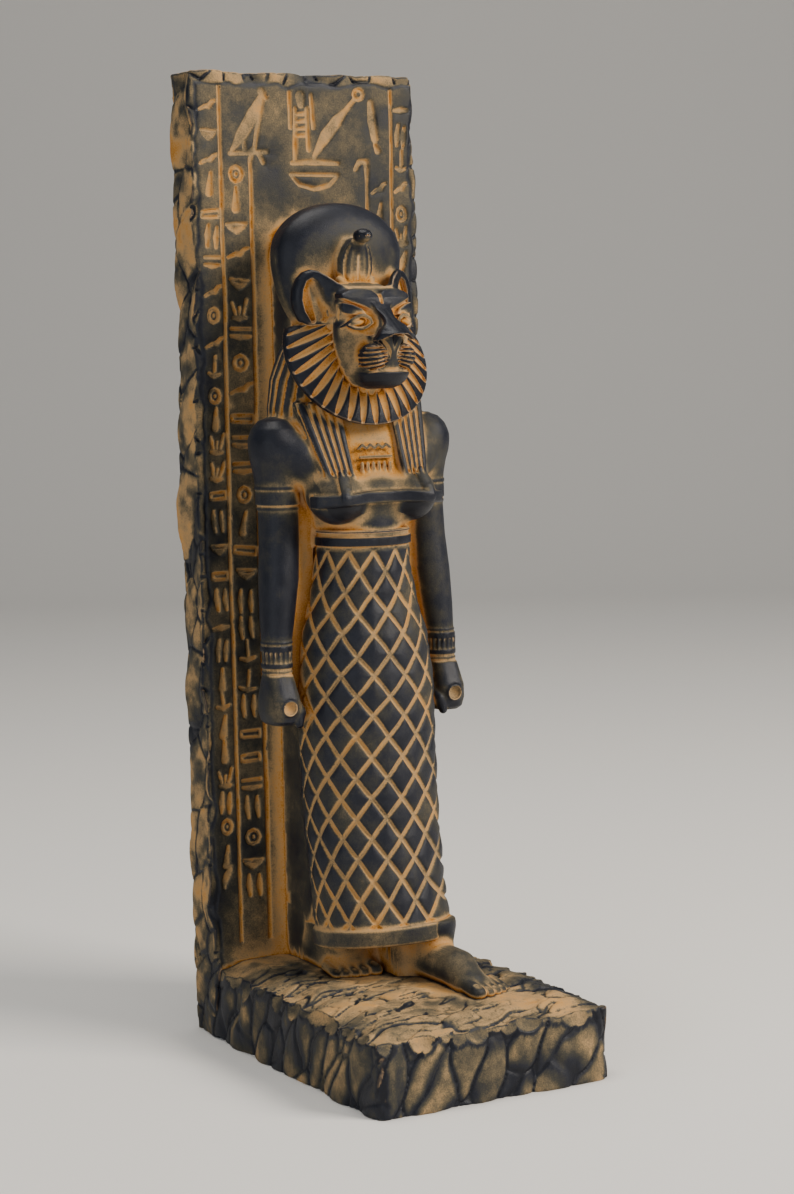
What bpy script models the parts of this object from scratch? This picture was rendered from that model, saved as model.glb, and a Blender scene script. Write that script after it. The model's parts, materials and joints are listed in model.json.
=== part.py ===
"""Cast-stone replica of a lioness-headed standing goddess before an inscribed slab.

The whole replica is one casting: rough base, upright slab, back pillar and figure.
The figure faces -Y, +Z is up, and the origin is under the middle of the base.
Lengths below are millimetres. finish() turns the finished mesh into metres.
"""

from math import atan2, cos, degrees, hypot, pi, radians, sin
from random import Random

import bmesh
import bpy
from mathutils import Vector

METRES = 0.001
NODE_NAME = "sekhmet_statue"
FLATNESS = 0.0005

# The L-shaped block
HEIGHT = 350.0
WIDTH = 89.0
DEPTH = 138.0
SLAB_THICKNESS = 16.5
RIM_HEIGHT = 22.5
DAIS_HEIGHT = 27.0
HEWN_STEP = 12.0
HEWN_RELIEF = 1.1

HALF = WIDTH / 2
BACK = DEPTH / 2
FRONT = -DEPTH / 2
SLAB_FACE = BACK - SLAB_THICKNESS

# Back pillar and sun disc
PILLAR_HALF = 16.5
PILLAR_FRONT = 27.0
PILLAR_TOP = 298.0
DISC_HALF = 25.0
DISC_MIDDLE = 284.0
DISC_RISE = 18.0
DISC_DROP = 33.0
DISC_RIM = 29.5

# Inscription: ruled lines (distance from the middle) and rows of plain strokes
RULES = (-34.3, -22.5, 22.5, 35.8)
CARVE_DEPTH = 1.0
RULE_WIDTH = 1.3

# Skirt: (height, middle of the section, half width)
SKIRT = (
    (186.0, 16.5, 16.8), (176.0, 17.2, 17.4), (162.0, 18.2, 20.0), (149.0, 17.6, 23.4),
    (132.0, 16.5, 24.9), (109.0, 16.0, 25.0), (82.0, 13.9, 24.7), (61.0, 10.2, 24.5),
    (44.0, 6.6, 24.7),
)
SKIRT_DEPTH_RATIO = 0.92
NET_TOP = 179.6
NET_PITCH = 7.2
NET_ROWS = 19
NET_LEFT = -6
NET_RIGHT = 8
NET_RELIEF = 0.9
NET_GROOVE = 1.6

# Collar of hair round the face
COLLAR_FLUTES = 19
COLLAR_RELIEF = 1.3

# Arms: (height, distance from the middle, depth of the middle, radius)
ARM = (
    (226.5, 30.0, 24.5, 3.6), (224.5, 30.3, 24.5, 6.6), (220.0, 30.6, 24.4, 8.5),
    (213.0, 30.2, 24.3, 8.9), (205.0, 29.6, 24.2, 7.9), (196.0, 29.6, 23.8, 7.1),
    (183.0, 30.0, 23.0, 7.0), (170.0, 31.0, 22.0, 7.1), (157.0, 32.4, 21.0, 6.2),
    (146.0, 33.4, 20.2, 5.2), (134.0, 33.6, 19.6, 5.0),
)


def clear_scene():
    """Remove every object of the open scene."""
    for item in list(bpy.data.objects):
        bpy.data.objects.remove(item, do_unlink=True)


def is_flat(points):
    """Tell whether a polygon's points lie in one plane."""
    if len(points) == 3:
        return True
    middle = sum(points, Vector()) / len(points)
    normal = Vector()
    for a, b in zip(points, points[1:] + points[:1]):
        normal += (a - middle).cross(b - middle)
    normal.normalize()
    return all(abs((point - middle).dot(normal)) < FLATNESS for point in points)


def to_object(name, bm):
    """Close a bmesh into an object, splitting bent faces and pointing all faces outward."""
    bmesh.ops.recalc_face_normals(bm, faces=bm.faces)
    bent = [face for face in bm.faces if not is_flat([v.co for v in face.verts])]
    bmesh.ops.triangulate(bm, faces=bent)
    mesh = bpy.data.meshes.new(name)
    bm.to_mesh(mesh)
    bm.free()
    item = bpy.data.objects.new(name, mesh)
    bpy.context.scene.collection.objects.link(item)
    return item


def close(bm, loop):
    """Close a loop of vertices with one flat face, or with a fan where it is bent."""
    points = [vert.co for vert in loop]
    if is_flat(points):
        bm.faces.new(loop)
        return
    hub = bm.verts.new(sum(points, Vector()) / len(points))
    for i, vert in enumerate(loop):
        bm.faces.new((vert, loop[(i + 1) % len(loop)], hub))


def loft(name, rings):
    """Skin a list of closed rings with equal point counts and cap both ends."""
    bm = bmesh.new()
    loops = [[bm.verts.new(point) for point in ring] for ring in rings]
    for lower, upper in zip(loops, loops[1:]):
        for i in range(len(lower)):
            j = (i + 1) % len(lower)
            bm.faces.new((lower[i], lower[j], upper[j], upper[i]))
    for loop in (loops[0], loops[-1]):
        close(bm, loop)
    return to_object(name, bm)


def prism(name, outline, near, far, place):
    """Extrude a flat outline from near to far. place(u, v, depth) gives the point."""
    return loft(name, [[place(u, v, depth) for u, v in outline] for depth in (near, far)])


def facing(u, v, depth):
    """Put an outline drawn in x and z at a depth along y."""
    return Vector((u, depth, v))


def box(name, low, high):
    """Make a box between two corners."""
    outline = [(low[0], low[2]), (high[0], low[2]), (high[0], high[2]), (low[0], high[2])]
    return prism(name, outline, low[1], high[1], facing)


def oval(middle, half_x, half_y, count=14):
    """Give the points of a level ellipse round a middle point."""
    x, y, z = middle
    return [
        Vector((x + half_x * sin(2 * pi * i / count), y - half_y * cos(2 * pi * i / count), z))
        for i in range(count)
    ]


def blob(name, middle, radii, rings=6, count=10):
    """Make an ellipsoid with its poles up and down."""
    bands = []
    for i in range(1, rings):
        angle = pi * i / rings
        level = middle[2] - radii[2] * cos(angle)
        bands.append(oval((middle[0], middle[1], level),
                          radii[0] * sin(angle), radii[1] * sin(angle), count))
    return loft(name, bands)


def combine(target, pieces, operation):
    """Apply one exact Boolean for each piece, then remove the pieces."""
    for piece in pieces:
        modifier = target.modifiers.new(operation.title(), "BOOLEAN")
        modifier.operation = operation
        modifier.solver = "EXACT"
        modifier.object = piece
        graph = bpy.context.evaluated_depsgraph_get()
        result = bpy.data.meshes.new_from_object(target.evaluated_get(graph))
        target.modifiers.clear()
        spent = target.data
        target.data = result
        bpy.data.meshes.remove(spent)
        bpy.data.objects.remove(piece, do_unlink=True)
    return target


def along(table, height):
    """Interpolate the columns of a table whose first column is a falling height."""
    if height >= table[0][0]:
        return table[0][1:]
    for above, below in zip(table, table[1:]):
        if height >= below[0]:
            share = (above[0] - height) / (above[0] - below[0])
            return tuple(a + (b - a) * share for a, b in zip(above[1:], below[1:]))
    return table[-1][1:]


def hewn_path(corners, step, dice, relief):
    """Walk a closed outline of corner points and break it into uneven chisel facets."""
    points = []
    for start, end in zip(corners, corners[1:] + corners[:1]):
        edge = Vector(end) - Vector(start)
        out = Vector((edge.y, -edge.x)).normalized()
        count = max(1, round(edge.length / step))
        for i in range(count):
            share = (i + (dice.uniform(-0.25, 0.25) if i else 0.0)) / count
            points.append(Vector(start) + edge * share + out * dice.uniform(-relief, relief))
    return points


def slab():
    """Make the upright slab: flat face and back, chipped sides and top."""
    dice = Random(11)
    side = HALF - 0.4
    corners = [(-side, 0.0), (side, 0.0), (side + 1.2, HEIGHT * 0.7), (side - 0.6, HEIGHT - 1.2),
               (-side - 0.2, HEIGHT - 1.2), (-side - 0.9, HEIGHT * 0.6)]
    plain = hewn_path(corners, HEWN_STEP, dice, 0.0)
    middle = Vector((0.0, HEIGHT / 2))
    layers = ((BACK, -0.4), (BACK - 6.0, 0.6), (SLAB_FACE, -0.7))
    rings = []
    for depth, spread in layers:
        ring = []
        for point in plain:
            away = point - middle
            side_share = 1.0 if abs(away.x) > HALF - 3.0 else 0.0
            top_share = 1.0 if away.y > HEIGHT / 2 - 4.0 else 0.0
            shift = spread + dice.uniform(-HEWN_RELIEF, HEWN_RELIEF)
            x = point.x + shift * side_share * (1 if away.x > 0 else -1)
            z = point.y + (shift * 0.7 * top_share if point.y > 1.0 else 0.0)
            ring.append(Vector((x, depth, max(0.0, min(z, HEIGHT)))))
        rings.append(ring)
    return loft("slab", rings)


def base():
    """Make the base: flat underside, hewn sides and a broken, scalloped rim."""
    dice = Random(5)
    side = HALF - 0.6
    front = FRONT + 0.6
    back = SLAB_FACE + 9.0
    corners = [(-side, back), (-side, front + 5.0), (-side + 5.0, front),
               (side - 3.0, front), (side, front + 3.0), (side, back)]
    plain = hewn_path(corners, HEWN_STEP, dice, 0.0)
    middle = Vector((0.0, (front + back) / 2))
    levels = ((0.0, 0.995, 0.3), (5.0, 1.0, 0.9), (13.0, 0.995, 1.1),
              (RIM_HEIGHT - 2.5, 0.99, 1.0), (RIM_HEIGHT + 1.6, 0.93, 0.6),
              (DAIS_HEIGHT - 0.6, 0.83, 0.8))
    rings = []
    for level, scale, relief in levels:
        ring = []
        for point in plain:
            away = (point - middle) * scale
            away += away.normalized() * dice.uniform(-relief, relief)
            lift = 0.0 if level == 0.0 else dice.uniform(-0.9, 0.9)
            ring.append(Vector((middle.x + away.x, min(middle.y + away.y, back), level + lift)))
        rings.append(ring)
    rings.append([Vector((p.x * 0.55, middle.y + (p.y - middle.y) * 0.6, DAIS_HEIGHT + 0.4))
                  for p in rings[-1]])
    return loft("base", rings)


def pillar():
    """Make the back pillar with its round top behind the disc."""
    arc = [(PILLAR_HALF * cos(pi * i / 10), PILLAR_TOP - PILLAR_HALF + PILLAR_HALF * sin(pi * i / 10))
           for i in range(11)]
    outline = [(-PILLAR_HALF, DAIS_HEIGHT - 8.0), (PILLAR_HALF, DAIS_HEIGHT - 8.0)] + arc
    return prism("pillar", outline, SLAB_FACE + 4.0, PILLAR_FRONT, facing)


def disc_outline(scale, count=26):
    """Trace the disc: a low round top and a longer lower half behind the head."""
    points = []
    for i in range(count):
        angle = 2 * pi * i / count
        rise = DISC_RISE if sin(angle) > 0 else DISC_DROP
        points.append((DISC_HALF * scale * cos(angle), DISC_MIDDLE + rise * scale * sin(angle)))
    return points


def disc():
    """Make the sun disc as a shallow dome on a thin rim."""
    layers = ((DISC_RIM + 3.5, 0.97), (DISC_RIM, 1.0), (DISC_RIM - 2.4, 0.955),
              (DISC_RIM - 5.6, 0.8), (DISC_RIM - 8.2, 0.46))
    return loft("disc", [[facing(u, v, depth) for u, v in disc_outline(scale)]
                         for depth, scale in layers])


def cobra():
    """Make the rearing cobra on the disc: a spread hood and a small head."""
    hood = [(-2.2, 269.5), (2.2, 269.5), (5.6, 274.0), (6.6, 279.5), (5.2, 285.0), (2.2, 289.0),
            (-2.2, 289.0), (-5.2, 285.0), (-6.6, 279.5), (-5.6, 274.0)]
    inner = [(u * 0.72, 279.0 + (v - 279.0) * 0.8) for u, v in hood]
    rings = [[facing(u, v, 24.0) for u, v in hood],
             [facing(u, v, 16.6 - (v - 269.5) * 0.12) for u, v in hood],
             [facing(u, v, 15.0 - (v - 269.5) * 0.12) for u, v in inner]]
    head = blob("cobra head", (0.0, 12.6, 290.2), (2.6, 4.2, 2.3), 6, 8)
    rib = box("cobra rib", (-1.5, 12.9, 270.5), (1.5, 18.0, 285.5))
    return [loft("cobra hood", rings), head, rib]


def skull():
    """Make the head without its features, open-mouthed side forward."""
    stations = ((231.0, 8.0, 8.0), (236.0, 11.5, 4.2), (242.0, 14.0, 3.0), (250.0, 15.0, 2.6),
                (257.0, 15.4, 1.6), (262.0, 15.6, 1.2), (267.0, 15.4, 1.8), (270.5, 13.6, 4.5),
                (273.5, 11.0, 9.5), (279.0, 8.0, 17.0))
    rings = []
    for height, half, face in stations:
        middle = 26.0
        rings.append(oval((0.0, middle, height), half * 1.08, middle - face, 16))
    return loft("skull", rings)


def muzzle():
    """Make jaw, whisker pads with their grooves, nose wedge and chin."""
    jaw = loft("jaw", [
        oval((0.0, 5.0, 236.4), 7.0, 5.6), oval((0.0, 4.0, 238.6), 9.2, 10.0),
        oval((0.0, 4.0, 242.2), 10.4, 12.0), oval((0.0, 5.0, 246.0), 9.0, 12.5),
        oval((0.0, 6.0, 251.0), 6.0, 12.0)])
    parts = [jaw]
    for side in (-1, 1):
        parts.append(blob("pad", (side * 5.2, -1.6, 247.0), (5.4, 7.3, 4.9), 8, 12))
    profile = [(12.0, 268.0), (0.6, 267.6), (-5.0, 262.6), (-15.0, 256.2), (-14.4, 254.6),
               (-7.4, 251.6), (4.0, 250.0), (12.0, 252.0)]
    spread = (3.2, 2.9, 3.3, 4.6, 4.4, 3.0, 3.0, 3.2)
    rings = []
    for share in (-1.0, -0.55, 0.0, 0.55, 1.0):
        drop = abs(share) ** 1.6
        rings.append([Vector((share * half * (1.55 if y < -12.0 else 1.0),
                              y + (3.6 * drop if y < -12.0 else 0.0),
                              z - (2.6 if y < -12.0 else 1.4) * drop))
                      for (y, z), half in zip(profile, spread)])
    parts.append(loft("nose", rings))
    return parts


def whisker_cuts():
    """Give the thin wedges that cut four grooves across each whisker pad."""
    cutters = []
    for side in (-1, 1):
        for i in range(3):
            height = 244.3 + 2.1 * i
            start = side * 3.6
            end = side * 13.0
            outline = [(start, height), (end, height - 0.5), (end, height + 0.5)]
            cutters.append(prism("whisker", outline, -12.0, -1.6 + 0.3 * i, facing))
    return cutters


def brows_and_eyes():
    """Make the brow plates, the upper lids and the eyeballs of both sides."""
    parts = []
    for side in (-1, 1):
        brow = [(1.0, 265.0), (1.0, 269.6), (7.0, 270.4), (13.4, 270.6), (14.2, 268.2), (9.0, 267.0),
                (5.0, 265.6)]
        near = [(side * u, v) for u, v in brow]
        parts.append(loft("brow", [
            [Vector((u, 9.0, v)) for u, v in near],
            [Vector((u, -0.9 + 0.022 * u * u, v)) for u, v in near]]))
        lid = [(6.2, 260.2), (8.0, 262.4), (11.0, 262.8), (13.6, 261.0), (15.6, 258.6), (12.6, 259.6),
               (9.6, 260.8)]
        parts.append(loft("lid", [
            [Vector((side * u, 8.0, v)) for u, v in lid],
            [Vector((side * u, -2.4 + 0.030 * u * u, v)) for u, v in lid]]))
        parts.append(blob("eyeball", (side * 9.4, 3.6, 259.2), (3.0, 4.4, 1.7), 6, 10))
    return parts


def ear(side):
    """Make one round ear as an arched rim round a hollow."""
    middle = Vector((side * 18.2, 0.0, 269.0))
    arch = []
    for i in range(13):
        angle = radians(-50.0 + 260.0 * i / 12)
        arch.append(((side * 7.8) * cos(angle), 9.6 * sin(angle)))
    outline = [(middle.x + u, middle.z + v) for u, v in arch]
    hollow = [(middle.x + u * 0.62, middle.z - 0.8 + v * 0.7) for u, v in arch]
    slope = side * 0.32
    shell = loft("ear", [
        [Vector((u, 24.0, v)) for u, v in outline],
        [Vector((u, 15.4 + slope * (u - middle.x), v)) for u, v in outline]])
    cutter = loft("ear hollow", [
        [Vector((u, 18.6 + slope * (u - middle.x), v)) for u, v in hollow],
        [Vector((u, 8.0, v)) for u, v in hollow]])
    return combine(shell, [cutter], "DIFFERENCE")


def collar_edge(angle, half, rise, middle):
    """Find a point of an oval round the face in x and z."""
    return half * sin(angle), middle - rise * cos(angle)


def collar_outer(turn):
    """Find the outer edge of the collar, which falls back towards the ears."""
    x, z = collar_edge(turn * 0.78, 27.6, 23.6, 247.2)
    return Vector((x, 4.0 + (z - 223.6) * 0.55, z))


def collar_inner(turn):
    """Find the inner edge of the collar against the cheek."""
    x, z = collar_edge(turn, 13.6, 13.0, 249.5)
    return Vector((x, 7.2 + (z - 236.5) * 0.16, z))


def collar():
    """Make the fan of hair: flat rays that widen outward, with pointed flutes between."""
    reach = radians(134.0)
    step = 2 * reach / COLLAR_FLUTES
    back = [Vector((0.0, 27.0, 264.0))]
    outer = [Vector((0.0, 22.0, 265.0))]
    inner = [Vector((0.0, 14.0, 262.0))]
    dent = Vector((0.0, COLLAR_RELIEF, 0.0))
    for i in range(COLLAR_FLUTES):
        start = -reach + i * step
        for share_in, share_out, low in ((0.0, 0.0, 0), (0.20, 0.36, 0), (0.28, 0.46, 1),
                                         (0.92, 0.54, 1)):
            rim = collar_outer(start + share_out * step)
            root = collar_inner(start + share_in * step)
            back.append(rim + Vector((-rim.x * 0.06, 6.5, 0.6)))
            outer.append(rim + dent * low * 0.6)
            inner.append(root + dent * low)
    return loft("collar", [back, outer, inner])


def strand(name, path, width, proud):
    """Lay one flat lock of hair along a path, sunk into what carries it."""
    rings = []
    for point, tangent in zip(path, [b - a for a, b in zip(path, path[1:])] + [path[-1] - path[-2]]):
        across = Vector((tangent.z, 0.0, -tangent.x)).normalized() * (width / 2)
        rings.append([point - across + Vector((0.0, 6.0, 0.0)), point + across + Vector((0.0, 6.0, 0.0)),
                      point + across * 0.7 + Vector((0.0, -proud, 0.0)),
                      point - across * 0.7 + Vector((0.0, -proud, 0.0))])
    return loft(name, rings)


def wig():
    """Make the hair mass behind the collar and the locks on shoulders and chest."""
    mass = loft("wig", [
        oval((0.0, 27.0, 222.0), 30.5, 15.0, 20), oval((0.0, 27.0, 230.0), 30.5, 13.6, 20),
        oval((0.0, 27.5, 240.0), 29.0, 12.0, 20), oval((0.0, 28.0, 249.0), 25.4, 11.0, 20),
        oval((0.0, 29.0, 257.0), 20.0, 10.0, 20)])
    parts = [mass]
    for side in (-1, 1):
        for i in range(4):
            x = 11.0 + 3.1 * i
            y = 4.3 + 0.45 * i
            path = [Vector((side * (x + 1.0), y + 5.0, 231.0)), Vector((side * (x + 0.6), y + 2.0, 221.0)),
                    Vector((side * x, y, 207.0))]
            parts.append(strand("lock", path, 2.1, 0.9))
        for i in range(3):
            x = 23.4 + 2.7 * i
            y = 15.4 + 2.9 * i
            path = [Vector((side * (x - 2.2), y + 1.6, 246.0)), Vector((side * x, y, 236.0)),
                    Vector((side * (x + 0.8), y - 0.8, 223.0))]
            parts.append(strand("side lock", path, 1.8, 1.0))
    return parts


def torso():
    """Make the trunk from waist to neck."""
    stations = ((176.0, 16.6, 1.4), (186.0, 16.8, 1.2), (191.0, 17.8, 2.0), (197.0, 20.5, 3.0),
                (204.0, 24.0, 4.2), (210.0, 26.0, 6.4), (218.0, 27.0, 8.8), (224.0, 25.0, 11.5),
                (229.0, 16.0, 15.0), (236.0, 12.0, 12.0))
    return loft("torso", [oval((0.0, 24.0, z), half, 24.0 - front, 16) for z, half, front in stations])


def bust():
    """Make the breasts, the dress band with its shoulder straps and the waist band."""
    parts = []
    for side in (-1, 1):
        parts.append(loft("breast", [
            oval((side * 14.0, 10.0, 190.8), 4.5, 5.0, 12), oval((side * 15.0, 8.0, 194.0), 8.6, 9.6, 12),
            oval((side * 15.2, 7.0, 198.0), 9.8, 12.6, 12), oval((side * 15.0, 8.0, 202.5), 9.4, 11.6, 12),
            oval((side * 14.6, 10.0, 207.5), 8.0, 8.6, 12), oval((side * 14.0, 12.0, 212.0), 5.0, 5.4, 12)]))
        strap = [Vector((side * 15.2, 3.4, 208.6)), Vector((side * 15.8, -1.4, 205.0)),
                 Vector((side * 16.2, -5.0, 199.0))]
        parts.append(strand("strap", strap, 4.6, 0.9))
    band = []
    for z, grow in ((195.4, 0.0), (195.9, 0.9), (199.6, 0.9), (200.2, 0.0)):
        ring = []
        for i in range(28):
            x = (19.6 + 4.4 + grow) * sin(2 * pi * i / 28)
            swell = max(0.0, 1.0 - ((abs(x) - 15.2) / 9.5) ** 2)
            depth = -1.2 - 4.6 * swell - grow if cos(2 * pi * i / 28) > 0.2 else 12.0
            ring.append(Vector((x, min(depth + 0.012 * x * x, 14.0), z)))
        band.append(ring)
    parts.append(loft("dress band", band))
    parts.append(loft("waist band", [
        oval((0.0, 16.6, z), 16.9 + grow, 15.6 + grow, 20)
        for z, grow in ((180.4, 0.0), (180.9, 0.8), (184.2, 0.8), (184.7, 0.0))]))
    return parts


def pectoral():
    """Make the plain bars and the band of the chest ornament."""
    parts = [box("pectoral line", (-6.6, 4.4, 211.6), (6.6, 9.0, 212.6)),
             box("pectoral top", (-6.6, 4.6, 215.4), (6.6, 9.6, 216.6))]
    for i in range(6):
        x = -5.6 + 2.24 * i
        parts.append(box("pectoral bar", (x - 0.55, 3.6, 206.8), (x + 0.55, 8.0, 210.2)))
    return parts


def web():
    """Make the stone left between the arms, the body and the pillar."""
    outline = [(-29.0, 130.0), (29.0, 130.0), (29.0, 214.0), (-29.0, 214.0)]
    return prism("web", outline, 30.0, 22.5, facing)


def arm(side):
    """Make one straight arm with its armlet, bracelet and closed fist."""
    limb = loft("arm", [oval((side * x, y, z), r, r * 1.06, 12) for z, x, y, r in ARM])
    parts = [limb]
    for low, high, grow in ((194.6, 200.0, 0.7), (137.4, 146.4, 0.6)):
        middle = (low + high) / 2
        x, y, radius = along(ARM, middle)
        parts.append(loft("ring", [oval((side * x, y, z), radius + grow, radius * 1.06 + grow, 12)
                                   for z in (low, high)]))
    fist = loft("fist", [
        oval((side * 33.0, 19.4, 119.4), 4.2, 6.2, 10), oval((side * 33.2, 18.8, 121.0), 6.0, 8.4, 10),
        oval((side * 33.6, 18.6, 127.0), 6.4, 8.6, 10), oval((side * 33.6, 19.2, 134.0), 5.4, 6.4, 10)])
    rod = prism("rod", [(side * 33.6 + 2.9 * cos(pi * i / 4), 125.6 + 3.4 * sin(pi * i / 4))
                        for i in range(8)], 16.0, 9.4, facing)
    thumb = blob("thumb", (side * 28.6, 16.4, 121.6), (2.6, 5.4, 3.4), 6, 8)
    return parts + [fist, rod, thumb]


def skirt_point(angle, height, proud=0.0):
    """Find a point of the skirt from its turn round the body and its height."""
    middle, half = along(SKIRT, height)
    depth = half * SKIRT_DEPTH_RATIO
    return Vector(((half + proud) * sin(angle), middle - (depth + proud) * cos(angle), height))


def net_angle(step, height):
    """Turn a half column of the net into an angle round the body, drifting as it descends."""
    fall = 165.0 - height
    column = step / 2
    widen = 0.056 * fall * max(0.0, column - 1.5) ** 2
    return radians(-14.0 - 0.157 * fall + (30.5 - 0.055 * fall) * column + widen)


def net_knots(bm):
    """Make the knots of the net: every second half column, staggered row by row."""
    knots = {}
    for row in range(NET_ROWS + 1):
        height = NET_TOP - NET_PITCH * row
        for step in range(NET_LEFT, NET_RIGHT + 1):
            if (row + step) % 2 == 0:
                knots[row, step] = bm.verts.new(skirt_point(net_angle(step, height), height))
    return knots


def net_diamonds(bm, knots):
    """Fill the net with diamonds, and with triangles along its four edges."""
    diamonds = []
    for row in range(NET_ROWS + 1):
        for step in range(NET_LEFT, NET_RIGHT + 1):
            around = [(row - 1, step), (row, step - 1), (row + 1, step), (row, step + 1)]
            corners = [knots[key] for key in around if key in knots]
            if (row + step) % 2 and len(corners) >= 3:
                face = bm.faces.new(corners)
                if len(corners) == 4:
                    diamonds.append(face)
    return diamonds


def net_back(bm, knots):
    """Close the skirt behind the net and give the loops of its two open ends."""
    lines = []
    for row in range(0, NET_ROWS, 2):
        height = NET_TOP - NET_PITCH * row
        middle = [bm.verts.new(skirt_point(radians(turn), height)) for turn in (140, 180, 220)]
        lines.append([knots[row, NET_RIGHT]] + middle + [knots[row, NET_LEFT]])
    for upper, lower in zip(lines, lines[1:]):
        for i in range(len(upper) - 1):
            bm.faces.new((upper[i], upper[i + 1], lower[i + 1], lower[i]))
    last = [knots[NET_ROWS, step] for step in range(NET_LEFT + 1, NET_RIGHT, 2)]
    first = [knots[0, step] for step in range(NET_LEFT + 2, NET_RIGHT - 1, 2)]
    return first + lines[0], last + lines[-1]


def skirt():
    """Make the skirt under its bead net, each diamond standing proud, and the hem band."""
    bm = bmesh.new()
    knots = net_knots(bm)
    diamonds = net_diamonds(bm, knots)
    for loop in net_back(bm, knots):
        close(bm, loop)
    bmesh.ops.recalc_face_normals(bm, faces=bm.faces)
    bmesh.ops.inset_individual(bm, faces=diamonds, thickness=NET_GROOVE / 2, depth=NET_RELIEF,
                               use_even_offset=True)
    hem = []
    for level, grow in ((38.2, 0.0), (38.8, 1.3), (44.4, 1.3), (45.4, 0.3)):
        ring = []
        for i in range(28):
            point = skirt_point(2 * pi * i / 28, 46.0, grow)
            point.z = level + (18.0 - point.y) * 0.1
            ring.append(point)
        hem.append(ring)
    return [to_object("skirt", bm), loft("hem", hem)]


def foot(middle, toe_line, heel, ankle):
    """Make one foot pointing forward with five toes."""
    floor = DAIS_HEIGHT - 3.0
    top = DAIS_HEIGHT
    stations = ((heel, 5.4, 11.0), (heel - ankle, 6.0, 16.0), (toe_line + 19.0, 6.6, 14.0),
                (toe_line + 11.0, 7.6, 8.4), (toe_line + 4.0, 8.4, 5.4), (toe_line + 2.2, 7.8, 4.0))
    rings = []
    for y, half, rise in stations:
        rings.append([Vector((middle + half * cos(pi * i / 8), y, top + rise * sin(pi * i / 8) ** 0.7))
                      for i in range(9)]
                     + [Vector((middle - half, y, floor)), Vector((middle + half, y, floor))])
    parts = [loft("foot", rings)]
    inner = -1 if middle > 0 else 1
    for i in range(5):
        radius = 2.2 if i == 0 else 1.75 - 0.1 * i
        x = middle + inner * (6.1 - 3.15 * i)
        parts.append(blob("toe", (x, toe_line + 2.6 + 0.9 * i, top + 1.6), (radius, 4.2, 2.4), 4, 6))
    return parts


def feet():
    """Make both feet, the left one a step ahead, and the stone between them."""
    fill = box("fill", (1.0, -6.0, DAIS_HEIGHT - 2.0), (17.0, 40.0, 41.0))
    rear = box("rear fill", (-15.0, 12.0, DAIS_HEIGHT - 2.0), (4.0, 40.0, 41.0))
    return foot(-9.0, 2.4, 36.0, 8.0) + foot(12.5, -45.5, -4.0, 6.0) + [fill, rear]


def mark(kind, x, z, size):
    """Outline one generic sunk stroke in x and z: bar, upright, wedge, dish or lozenge."""
    shapes = {
        "bar": [(-1.0, -0.18), (1.0, -0.18), (1.0, 0.18), (-1.0, 0.18)],
        "upright": [(-0.22, -1.0), (0.22, -1.0), (0.3, 1.0), (-0.3, 1.0)],
        "wedge": [(-0.7, -0.7), (0.7, -0.7), (0.0, 0.9)],
        "dish": [(-1.0, 0.3), (-0.6, -0.35), (0.6, -0.35), (1.0, 0.3)],
        "lozenge": [(-0.8, 0.0), (0.0, -0.5), (0.8, 0.0), (0.0, 0.5)],
    }
    return [(x + size * u, z + size * v) for u, v in shapes[kind]]


def inscription():
    """Give the cutters of the ruled lines and of the rows of plain strokes."""
    low = SLAB_FACE - 6.0
    deep = SLAB_FACE + CARVE_DEPTH
    cutters = []
    for x, top in zip(RULES, (346.5, 322.0, 322.0, 346.5)):
        outline = [(x - RULE_WIDTH / 2, 34.0), (x + RULE_WIDTH / 2, 34.0), (x + RULE_WIDTH / 2, top),
                   (x - RULE_WIDTH / 2, top)]
        cutters.append(prism("rule", outline, low, deep, facing))
    dice = Random(23)
    kinds = ("bar", "wedge", "dish", "upright", "lozenge")
    for x, start, pitch, half in ((-39.2, 338.0, 16.4, 3.0), (-28.5, 334.0, 17.2, 3.8),
                                  (29.1, 314.0, 17.2, 3.6)):
        row = 0
        while start - row * pitch > 46.0:
            outline = mark(kinds[(row * 2 + dice.randrange(2)) % 5], x, start - row * pitch, half)
            cutters.append(prism("stroke", outline, low, deep, facing))
            row += 1
    for kind, x, z, size in (("bar", 2.5, 323.0, 7.0), ("upright", -1.5, 334.0, 7.0),
                             ("wedge", 12.5, 332.0, 6.0), ("dish", 2.5, 315.0, 6.5),
                             ("upright", 29.0, 334.0, 8.0)):
        cutters.append(prism("stroke", mark(kind, x, z, size), low, deep, facing))
    return cutters


def stone():
    """Make the dark cast stone with its dry satin skin."""
    material = bpy.data.materials.new("dark_cast_stone")
    material.use_nodes = True
    shader = material.node_tree.nodes["Principled BSDF"]
    shader.inputs["Base Color"].default_value = (0.055, 0.050, 0.042, 1.0)
    shader.inputs["Roughness"].default_value = 0.55
    shader.inputs["Metallic"].default_value = 0.0
    return material


def finish(item):
    """Scale the mesh to metres, smooth its round parts and give it its material."""
    bm = bmesh.new()
    bm.from_mesh(item.data)
    bmesh.ops.dissolve_limit(bm, angle_limit=radians(2.0), verts=bm.verts, edges=bm.edges)
    bmesh.ops.triangulate(bm, faces=bm.faces)
    bmesh.ops.scale(bm, vec=Vector((METRES, METRES, METRES)), verts=bm.verts)
    bm.to_mesh(item.data)
    bm.free()
    item.data.materials.clear()
    item.data.materials.append(stone())
    item.data.shade_smooth()
    item.data.set_sharp_from_angle(angle=radians(35.0))
    item.name = NODE_NAME
    item.data.name = NODE_NAME


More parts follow.
